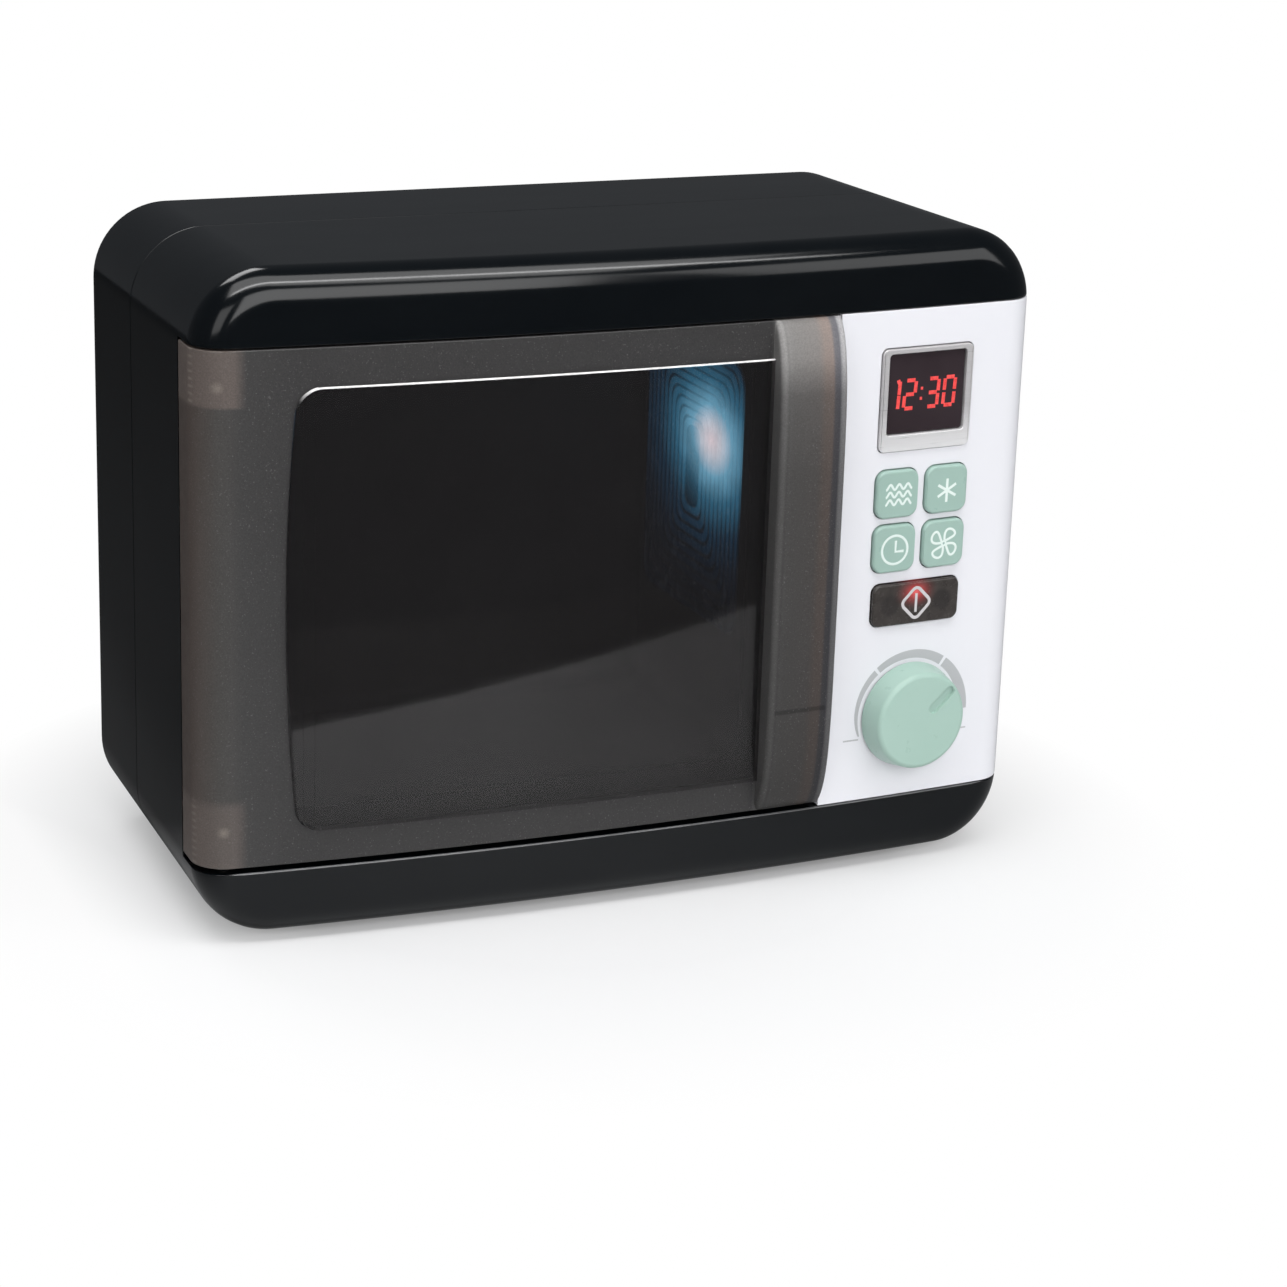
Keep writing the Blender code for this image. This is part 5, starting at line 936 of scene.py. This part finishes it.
def lug(low, high):
    """Solid lug round a hinge pin."""
    left = -WIDTH / 2 - OVER
    item = new_block("lug", (left, -OVER, low), (left + OVER + LUG_LENGTH, HINGE_Y, high))
    return carve(item, new_rod("eye", "Z", (HINGE_X, HINGE_Y, low), high - low, LUG_RADIUS, 64), "UNION")


def raised_pane():
    """Pane standing in front of the door, its edges rounded but for the one under the grip."""
    pane = carve(housing_form("pane", -PANE_RISE), pane_outline(), "INTERSECT")
    edit(pane)
    round_edges(pane, lambda edge: len(edge.link_faces) == 2 and edge.calc_face_angle(0) > 1
                and min(vert.co.x for vert in edge.verts) < GRIP_LEFT
                and any(face.normal.y < -0.9 for face in edge.link_faces)
                and max(vert.co.y for vert in edge.verts) < 0, PANE_ROUNDING, 4)
    done()
    return pane


def smoky_door():
    """Door: one smoky moulding with a frosted frame, a polished raised pane, a hollow grip and two lugs."""
    left = -WIDTH / 2 - OVER
    low, high = level(DOOR_LOW), level(DOOR_HIGH)
    item = cut_from_form("smoky_door", 0, (left, -OVER, low), (DOOR_RIGHT, DOOR_BACK, high))
    carve(item, raised_pane(), "UNION")
    carve(item, grip_bar("grip", 0), "UNION")
    hollow = cut_from_form("hollow", WALL, (left, -OVER, low + WALL),
                           (DOOR_RIGHT - WALL, DOOR_BACK + OVER, high - WALL))
    carve(hollow, lug(low - TINY, low + LOW_LUG))
    carve(hollow, lug(high - TOP_LUG, high + TINY))
    carve(item, hollow)
    carve(item, carve(housing_form("polish", WALL - PANE_SINK), pane_outline(PANE_MARGIN), "INTERSECT"))
    rib = level(GRIP_RIB_AT)
    pocket = grip_bar("pocket", GRIP_WALL)
    carve(pocket, new_block("rib", (GRIP_LEFT, -2 * OVER, rib), (DOOR_RIGHT, OVER, rib + GRIP_RIB)))
    carve(item, pocket)
    tongue = level(TONGUE_AT)
    front = GRIP_WALL / 2 - bow(TONGUE_X) - GRIP_RISE + GRIP_SINK
    wide, tall = TONGUE_HALF
    carve(item, new_block("tongue", (TONGUE_X - wide, front, tongue - tall),
                          (TONGUE_X + wide, TONGUE_END, tongue + tall)), "UNION")
    carve(item, new_block("web", (TONGUE_X, front, tongue - WEB_HALF),
                          (DOOR_RIGHT - WALL / 2, DOOR_BACK - WALL, tongue + WEB_HALF)), "UNION")
    for start, length in ((high - TOP_LUG + WALL, TOP_LUG), (low - WALL, LOW_LUG)):
        carve(item, new_rod("eye", "Z", (HINGE_X, HINGE_Y, start), length, PIN_HOLE))
    clean(item)
    edit(item)
    for height in (low, high):
        round_edges(item, lambda edge: all(
            abs(vert.co.z - height) < TINY and vert.co.x < GRIP_LEFT - GAP for vert in edge.verts)
            and any(abs(face.normal.z) > 0.9 for face in edge.link_faces)
            and any(face.normal.y < -0.3 or face.normal.x < -0.5 for face in edge.link_faces), DOOR_EDGE, 3)
    done()
    soften(item, 0.00025, clamp=True)
    mark_polished(item)
    return finished(item, "door", FROSTED, POLISHED, PANE_EDGE_HIGHLIGHT, stands_for=("door",), smooth=35)


def mark_polished(item):
    """Give the pane's faces, in front and behind, the second finish, and its upper rim the third, a painted
    highlight.
    """
    left, _, low, high = PANE
    middle, half = level((low + high) / 2), (high - low) / 2
    for face in item.data.polygons:
        x, y, z = face.center
        share = (z - middle) / half
        behind = y + bow(x)
        inside = left - PANE_BULGE * (1 - share ** 2) < x < GRIP_LEFT and abs(share) < 1
        inside = inside and not (x > GRIP_LEFT - GAP and face.normal.x < -0.8)
        raised = behind < -PANE_RISE * 0.3
        sunk = 0 < behind - (WALL - PANE_SINK) < 0.00012 and abs(face.normal.y) > 0.6
        # Upper rim faces, which take the painted highlight.
        rim = raised and x < GRIP_LEFT and behind > -PANE_RISE - GAP / 10 and 0.25 < face.normal.z < 0.97
        face.material_index = 2 if rim else 1 if inside and (raised or sunk) else 0


# Control panel

def opening(name, width, low, high, radius, grow=0):
    """Outline about the middle of the controls."""
    outline = (CONTROL_X - width / 2, CONTROL_X + width / 2, low, high)
    return prism(name, *grown(outline, grow), radius + grow)


def button_places():
    """Name, X and height of each square button."""
    half_x, half_z = BUTTON_PITCH[0] / 2, BUTTON_PITCH[1] / 2
    places = (("grill", -1, 1), ("defrost", 1, 1), ("clock", -1, -1), ("fan", 1, -1))
    return [(name, CONTROL_X + side * half_x, BUTTON_ROWS + row * half_z) for name, side, row in places]


def button_outline(x, height, grow=0):
    """Outline of a square button about its middle."""
    half_x, half_z = BUTTON[0] / 2, BUTTON[1] / 2
    outline = (x - half_x, x + half_x, height - half_z, height + half_z)
    return prism("button_outline", *grown(outline, grow), BUTTON_RADIUS + grow)


def place_on_knob_axis(item):
    """Stand a piece modelled along Z on the panel, square to it at the knob."""
    turn = Matrix.Rotation(KNOB_TILT, 4, "Z") @ Matrix.Rotation(math.pi / 2, 4, "X")
    item.matrix_world = Matrix.Translation((CONTROL_X, -bow(CONTROL_X), level(KNOB_AT))) @ turn
    return settle(item)


def white_panel():
    """White panel with its openings, wrapped round the right side."""
    right = WIDTH / 2 + OVER
    low, high = level(PANEL_LOW), level(PANEL_HIGH)
    item = cut_from_form("white_panel", 0, (PANEL_LEFT, -OVER, low), (right, DOOR_BACK, high))
    carve(item, cut_from_form("hollow", PANEL_WALL, (PANEL_LEFT + PANEL_WALL, -OVER, low + PANEL_WALL),
                              (right, DOOR_BACK + OVER, high - PANEL_WALL)))
    carve(item, opening("bezel_opening", *BEZEL, BEZEL_RADIUS, GAP))
    carve(item, opening("start_opening", *START, START_RADIUS, GAP))
    for _, x, height in button_places():
        carve(item, button_outline(x, height, GAP))
    carve(item, place_on_knob_axis(new_rod("bore", "Z", (0, 0, -OVER), 2 * OVER, STEM_BORE)))
    soften(clean(item), 0.0003, 3)
    return finished(item, "housing", WHITE, stands_for=("control_panel",), smooth=35)


def silver_frame():
    """Silver frame of the display."""
    item = front_patch("silver_frame", BEZEL_RISE, opening("outline", *BEZEL, BEZEL_RADIUS), CAP_BACK)
    carve(item, opening("window", *DISPLAY, DISPLAY_RADIUS, GAP))
    return finished(soften(item, 0.0004, 3), "housing", SILVER, stands_for=("display_bezel",))


def display_glass():
    """Dark lens of the display."""
    outline = opening("outline", *DISPLAY, DISPLAY_RADIUS)
    item = soften(front_patch("display_glass", -DISPLAY_SINK, outline, DISPLAY_BACK), 0.0002)
    return finished(item, "housing", DISPLAY_DARK, stands_for=("display_window",))


def mint_buttons():
    """Four mint buttons with rounded faces."""
    for name, x, height in button_places():
        item = front_patch(f"{name}_key", BUTTON_RISE, button_outline(x, height), CAP_BACK)
        finished(soften(item, 0.0009, 5), f"{name}_button", KEY_MINT_SHADED, stands_for=(f"{name}_button",))


def start_cap():
    """Dark cap of the start button."""
    item = front_patch("start_cap", BUTTON_RISE, opening("outline", *START, START_RADIUS), CAP_BACK)
    return finished(soften(item, 0.0008, 4), "start_button", START_SMOKE, stands_for=("start_button",))


def timer_knob():
    """Mint knob: round cap with a rolled edge, a stem and a pointer groove."""
    item = new_rod("timer_knob", "Z", (0, 0, KNOB_GAP), KNOB_RISE - KNOB_GAP, KNOB_RADIUS, 128)
    edit(item)
    choose(item, "FACE", lambda face: face.normal.z > 0.9)
    draw_in((KNOB_FACE / KNOB_RADIUS, KNOB_FACE / KNOB_RADIUS, 1), (0, 0, 0))
    round_edges(item, lambda edge: at(edge, "Z", KNOB_RISE)
                and any(abs(face.normal.z) < 0.5 for face in edge.link_faces), KNOB_EDGE, 8)
    choose(item, "FACE", lambda face: face.normal.z < -0.9)
    bpy.ops.mesh.inset(thickness=KNOB_WALL, depth=0)
    bpy.ops.mesh.extrude_region_move(TRANSFORM_OT_translate={"value": (0, 0, KNOB_RISE - KNOB_TOP)})
    draw_in((0.9, 0.9, 1), (0, 0, 0))
    done()
    carve(item, new_rod("stem", "Z", (0, 0, -STEM_BACK), STEM_LENGTH, STEM_RADIUS, 64), "UNION")
    reach = KNOB_FACE - POINTER_INSET
    groove = new_block("groove", (reach - POINTER_LENGTH, -POINTER_HALF, KNOB_RISE - POINTER_DEPTH),
                       (reach, POINTER_HALF, KNOB_RISE + OVER))
    rounded(groove, "Z", POINTER_CORNER, 8)
    groove.rotation_euler = (0, 0, POINTER_TURN)
    carve(item, settle(groove))
    place_on_knob_axis(soften(item, 0.00025))
    return finished(item, "knob", MINT, stands_for=("knob",))


# Signs

def stroke(name, places, width, closed=False, growth=None):
    """Line through places in X and height, of even width or growing by a share for each place."""
    bpy.ops.curve.primitive_nurbs_path_add()
    item = bpy.context.active_object
    item.name = name
    data = item.data
    data.splines.clear()
    line = data.splines.new("POLY")
    line.points.add(len(places) - 1)
    for point, (x, z), share in zip(line.points, places, growth or [1] * len(places)):
        point.co = (x, 0, z, 1)
        point.radius = share
    line.use_cyclic_u = closed
    data.dimensions = "3D"
    data.bevel_depth = width / 2
    data.bevel_resolution = 3
    data.use_fill_caps = True
    pick(item)
    bpy.ops.object.convert(target="MESH")
    item = bpy.context.active_object
    edit(item)
    bpy.ops.mesh.select_all(action="SELECT")
    bpy.ops.mesh.remove_doubles(threshold=TINY / 10)
    draw_in((1, 2 * INK / width, 1), (0, 0, 0))
    done()
    return item


def printed(name, strokes, rise, body, finish):
    """Join strokes to a flat sign on the bowed front, at a rise in front of it."""
    pick(strokes[0])
    for item in strokes:
        item.select_set(True)
    bpy.ops.object.join()
    item = bpy.context.active_object
    item.name = item.data.name = name
    swell(item, "Y", lambda place: -bow(place.x) - rise)
    return finished(item, body, finish)


def ring_places(centre, radius, start=0, end=2 * math.pi, steps=48):
    """Places on an arc."""
    turns = [start + (end - start) * step / steps for step in range(steps + 1)]
    return [(centre[0] + radius * math.cos(turn), centre[1] + radius * math.sin(turn)) for turn in turns]


def grill_sign(x, z):
    """Three wavy lines."""
    half_length, pitch, swing = 0.0052, 0.00272, 0.00092
    wave = [(x + 0.0004 + half_length * (step / 30 - 1), z - swing * math.cos(step * math.pi / 10))
            for step in range(61)]
    return [stroke("wave", [(px, pz + row * pitch) for px, pz in wave], 0.00088) for row in (-1, 0, 1)]


def defrost_sign(x, z):
    """Six-armed star."""
    lines = []
    for arm in range(3):
        turn = math.pi / 2 + arm * math.pi / 3
        across, up = 0.0042 * math.cos(turn), 0.0042 * math.sin(turn)
        ends = [(x + side * across, z - 0.0004 + side * up) for side in (-1, 1)]
        lines.append(stroke("arm", ends, 0.00100))
    return lines


def clock_sign(x, z):
    """Dial with two hands."""
    z -= 0.0003
    hands = [(x + 0.0003, z + 0.0033), (x + 0.0003, z - 0.0007), (x + 0.0036, z - 0.0007)]
    return [stroke("dial", ring_places((x, z), 0.0051)[:-1], 0.00095, True), stroke("hands", hands, 0.00095)]


def fan_sign(x, z):
    """Four blades turned one after another about a small hub."""
    lines = []
    for blade in range(4):
        turn = blade * math.pi / 2 + 0.87
        places = []
        for step in range(24):
            t = 2 * math.pi * step / 24
            out = 0.0034 - 0.0024 * math.cos(t)
            side = 0.0026 * math.sin(t) * (0.64 - 0.36 * math.cos(t))
            side += 0.0006 * math.sin(out / 0.0057 * math.pi)
            places.append((x + out * math.cos(turn) - side * math.sin(turn),
                           z + out * math.sin(turn) + side * math.cos(turn)))
        lines.append(stroke("blade", places, 0.00092, True))
    return lines + [stroke("hub", ring_places((x, z), 0.0008, steps=16)[:-1], 0.0007, True)]


def start_sign(x, z):
    """Rounded diamond with an upright bar."""
    reach, radius, half_bar = 0.0062, 0.0019, 0.0034
    out = reach - radius * math.sqrt(2)
    places = []
    for quarter in range(4):
        turn = quarter * math.pi / 2
        corner = (x + out * math.cos(turn), z + out * math.sin(turn))
        places += ring_places(corner, radius, turn - math.pi / 4, turn + math.pi / 4, 8)
    bar = [(x, z - half_bar), (x, z + half_bar)]
    return [stroke("diamond", places, 0.0012, True), stroke("bar", bar, 0.0010)]


def dial_band(centre, start, end):
    """Stretch of the dial's ring, which widens clockwise from its low left end; turns in degrees."""
    inner, steps, first_turn = 0.0203, 40, 198
    turns = [start + (end - start) * step / steps for step in range(steps + 1)]
    widths = [0.0006 + 0.0038 * max(0, (first_turn - turn) / first_turn) ** 0.65 for turn in turns]
    places = [ring_places(centre, inner + width / 2, math.radians(turn), steps=1)[0]
              for turn, width in zip(turns, widths)]
    return stroke("band", places, max(widths), growth=[width / max(widths) for width in widths])


def panel_signs():
    """Signs on the buttons and the dial round the knob."""
    signs = {"grill": grill_sign, "defrost": defrost_sign, "clock": clock_sign, "fan": fan_sign}
    for name, x, height in button_places():
        printed(f"{name}_sign", signs[name](x, level(height)), BUTTON_RISE, f"{name}_button", INK_WHITE)
    printed("start_sign", start_sign(CONTROL_X, level(START_MIDDLE)), BUTTON_RISE, "start_button", SIGN_GREY)
    x, z = CONTROL_X, level(KNOB_AT)
    marks = [dial_band((x, z), start, end) for start, end in ((198, 129.5), (126.5, 54.5), (51.5, -3))]
    for near, far, drop in ((-0.0197, -0.0258, 0.0075), (0.0203, 0.0249, 0.0086)):
        marks.append(stroke("tick", [(x + near, z - drop), (x + far, z - drop)], 0.0006))
    printed("dial_print", marks, 0, "housing", INK_GREY)


def digits():
    """Seven-segment time behind the display's lens, drawn on its front."""
    shown = (("bc", -0.01275), ("abged", -0.00635), ("abgcd", 0.00285), ("abcdef", 0.00945))
    columns_and_rows = {"a": (0, 2, 1, 2), "b": (1, 1, 1, 2), "c": (1, 0, 1, 1), "d": (0, 0, 1, 0),
                        "e": (0, 0, 0, 1), "f": (0, 1, 0, 2), "g": (0, 1, 1, 1)}
    tall, wide, thick, slant = 0.0098, 0.0041, 0.00142, 0.06
    base = level(0.1661)

    def leaning(x, z):
        return x + slant * (z - base - tall / 2), z

    lines = []
    for segments, middle in shown:
        left = CONTROL_X + middle - wide / 2
        for segment in segments:
            ca, ra, cb, rb = columns_and_rows[segment]
            xa, za = leaning(left + wide * ca, base + tall / 2 * ra)
            xb, zb = leaning(left + wide * cb, base + tall / 2 * rb)
            cut = (0.1 if segments == "bc" else 0.32) * thick / math.hypot(xb - xa, zb - za)
            places = [(xa + (xb - xa) * share, za + (zb - za) * share) for share in (cut, 1 - cut)]
            lines.append(stroke("segment", places, thick))
    x, z = leaning(CONTROL_X + shown[0][1] + wide / 2, base + tall)
    lines.append(stroke("flag", [(x, z), (x - 0.0012, z - 0.0004)], thick))
    for share in (0.32, 0.68):
        x, z = leaning(CONTROL_X - 0.00175, base + tall * share)
        lines.append(stroke("dot", [(x - 0.00045, z), (x + 0.00045, z)], 0.0011))
    printed("display_digits", lines, -DISPLAY_SINK, "housing", DIGITS)


# Setting

def carry_over():
    """Give the CAD nodes that stay their finishes."""
    brass = moulded("contact_brass", (0.50, 0.36, 0.14), (0.58, 0.43, 0.18), 0.3, 0.07, 800, 0.1, Metallic=1)
    green = moulded("board_green_lacquer", (0.012, 0.09, 0.035), (0.02, 0.12, 0.05), 0.35, 0.06, 900, 0.15)
    cells = moulded("battery_jacket", (0.30, 0.31, 0.33), (0.36, 0.37, 0.39), 0.28, 0.05, 600, 0.05,
                    Metallic=0.6)
    grey = moulded("inner_grey_plastic", (0.05, 0.05, 0.053), (0.065, 0.065, 0.068), 0.5, 0.06, 900, 0.1)
    collar = moulded("collar_white_plastic", (0.60, 0.60, 0.58), (0.66, 0.66, 0.64))
    red = moulded("red_insulation", (0.42, 0.015, 0.015), (0.5, 0.025, 0.02))
    black = moulded("black_insulation", (0.012, 0.012, 0.012), (0.02, 0.02, 0.02))
    lamp = moulded("lamp_resin", (0.55, 0.62, 0.66), (0.62, 0.68, 0.72), 0.2, 0.04, 900, 0.05)
    bulb = moulded("red_lamp_resin", (0.5, 0.03, 0.03), (0.58, 0.05, 0.05), 0.2, 0.04, 900, 0.05)
    rubber = moulded("foot_rubber", (0.045, 0.045, 0.047), (0.07, 0.07, 0.072), 0.8, 0.08, 1400, 0.3)
    steel = moulded("screw_steel", (0.46, 0.46, 0.47), (0.56, 0.56, 0.56), 0.3, 0.08, 900, 0.1, Metallic=1)
    finishes = (
        ("contact", brass), ("circuit_board", green), ("battery_box", grey), ("battery_cover", BLACK),
        ("wire_red", red), ("wire_black", black), ("battery_", cells), ("speaker", grey), ("foot", rubber),
        ("button_mat", rubber), ("screw", steel), ("pin", steel), ("spring", steel), ("door_catch", steel),
        ("knob_collar", collar), ("display_module", DISPLAY_DARK), ("lamp_led", lamp), ("start_led", bulb),
    )
    for name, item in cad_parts.items():
        finish = next((finish for part, finish in finishes if part in name), grey)
        item.data.materials.clear()
        item.data.materials.append(finish)


def mixed(share, first, second):
    """Mix of two shaders."""
    return node(share.tree, "MixShader", "Shader", {"Fac": share, 1: first, 2: second})


def floor():
    """Pale sheet that keeps the toy's shadow and fades to the white background."""
    bpy.ops.mesh.primitive_plane_add(size=1, location=(0, 0.55, 0))
    bpy.context.active_object.scale = (2.6, 1.9, 1)
    item = named("floor_sheet")
    made = bpy.data.materials.new("floor_sheet_white")
    made.use_nodes = True
    tree = made.node_tree
    tree.nodes.clear()
    matt, dark = (node(tree, "BsdfDiffuse", "BSDF", {"Color": colour})
                  for colour in ((0.80, 0.80, 0.805), (0, 0, 0)))
    white = node(tree, "Emission", "Emission", {"Color": (1, 1, 1), "Strength": 1})
    x, y, _ = parted(node(tree, "TexCoord", "Object", {}))
    # Which part of the sheet the toy's gloss mirrors: dark in front, so that the sides and pane stay deep.
    before = worked("MULTIPLY_ADD", x, 0.296, y).mapped(0.13, 0.83, -0.3015, -0.2985)
    before = before * x.mapped(0.4, 1, -0.2, -0.15) * x.mapped(1, 0.6, 0, 0.14)
    before = before * y.mapped(1, 0.75, -0.205, -0.165)
    rear = x.mapped(0, 1, -0.15, -0.09) * y.mapped(0, 1, 0.06, 0.08)
    seen = 1 - before * highest(y.mapped(1, 0.25, -0.02, 0.06), rear)
    # How far the sheet has faded to white for the camera.
    away = worked("SQRT", worked("POWER", x, 2) + worked("POWER", y, 2)).mapped(0.2, 1, 0.12, 0.23)
    away = highest(away, x.mapped(0.85, 0, -0.18, -0.12))
    mirrored = mixed(seen * node(tree, "LightPath", "Is Glossy Ray", {}), matt, dark)
    shown = mixed(away * node(tree, "LightPath", "Is Camera Ray", {}), mirrored, white)
    put(tree.nodes.new("ShaderNodeOutputMaterial").inputs["Surface"], shown)
    item.data.materials.append(made)


def soft_lamp(name, place, size, power, aim=(0, 0, 0.1)):
    """Rectangular lamp that faces a place."""
    bpy.ops.object.light_add(type="AREA", location=place)
    lamp = bpy.context.active_object
    lamp.name = name
    lamp.data.shape = "RECTANGLE"
    lamp.data.size, lamp.data.size_y = size
    lamp.data.energy = power
    lamp.rotation_euler = (Vector(aim) - Vector(place)).to_track_quat("-Z", "Y").to_euler()


def studio():
    """White surroundings for the camera, dim ones for reflections, and soft lamps."""
    soft_lamp("overhead_lamp", (-0.1, -0.25, 0.95), (1.1, 0.5), 5)
    soft_lamp("strip_lamp", (-0.05, -0.35, 0.85), (1.1, 0.05), 2.1)
    soft_lamp("left_lamp", (-1.0, -0.9, 0.6), (0.5, 0.6), 1.6)
    soft_lamp("front_lamp", (-0.05, -1.35, 0.75), (1.15, 0.9), 10)
    soft_lamp("right_lamp", (1.0, -1.1, 0.7), (0.8, 0.8), 4)
    soft_lamp("back_lamp", (-0.25, 0.85, 1.15), (0.7, 0.4), 4, (0, 0.05, 0.1))
    world = bpy.data.worlds.new("studio")
    bpy.context.scene.world = world
    world.use_nodes = True
    tree = world.node_tree
    tree.nodes.remove(tree.nodes["Background"])
    pale, grey = (1, 1, 1), (0.5, 0.52, 0.55)
    white, soft, dim = (node(tree, "Background", "Background", {"Color": colour, "Strength": strength})
                        for colour, strength in ((pale, 1), (grey, 0.35), (grey, 0.16)))
    mirrored = mixed(node(tree, "LightPath", "Is Glossy Ray", {}), soft, dim)
    shown = mixed(node(tree, "LightPath", "Is Camera Ray", {}), mirrored, white)
    put(tree.nodes["World Output"].inputs["Surface"], shown)


def camera():
    """Camera fitted to the photograph's edges."""
    azimuth, elevation, roll = (math.radians(turn) for turn in (24.052, 17.924, 1.925))
    fitted_depth, fitted_height, fitted_base = 0.135543, 0.223488, 0.003056
    aside, below, distance = 0.031423, 0.041481, 1.205065
    focal_pixels, photo_pixels, sensor = 3400.887, 1287, 36
    forward = Vector((math.sin(azimuth) * math.cos(elevation), math.cos(azimuth) * math.cos(elevation),
                      -math.sin(elevation)))
    level_right = Vector((math.cos(azimuth), -math.sin(azimuth), 0))
    level_up = level_right.cross(forward)
    right = math.cos(roll) * level_right + math.sin(roll) * level_up
    up = -math.sin(roll) * level_right + math.cos(roll) * level_up
    aim = Vector((0, fitted_depth / 2, fitted_height / 2 + fitted_base)) + Vector((0, SHIFT, 0))
    place = aim + aside * right - below * up - distance * forward
    bpy.ops.object.camera_add(location=place)
    item = bpy.context.active_object
    item.name = "photo_camera"
    item.matrix_world = Matrix((*zip(right, up, -forward, place), (0, 0, 0, 1)))
    item.data.sensor_width = sensor
    item.data.lens = sensor * focal_pixels / photo_pixels
    bpy.context.scene.camera = item


carry_over()
camera()
floor()
studio()
front_housing()
rear_housing()
cavity()
lit_lens()
smoky_door()
white_panel()
silver_frame()
display_glass()
mint_buttons()
start_cap()
timer_knob()
panel_signs()
digits()
bpy.context.scene.view_settings.view_transform = "Standard"
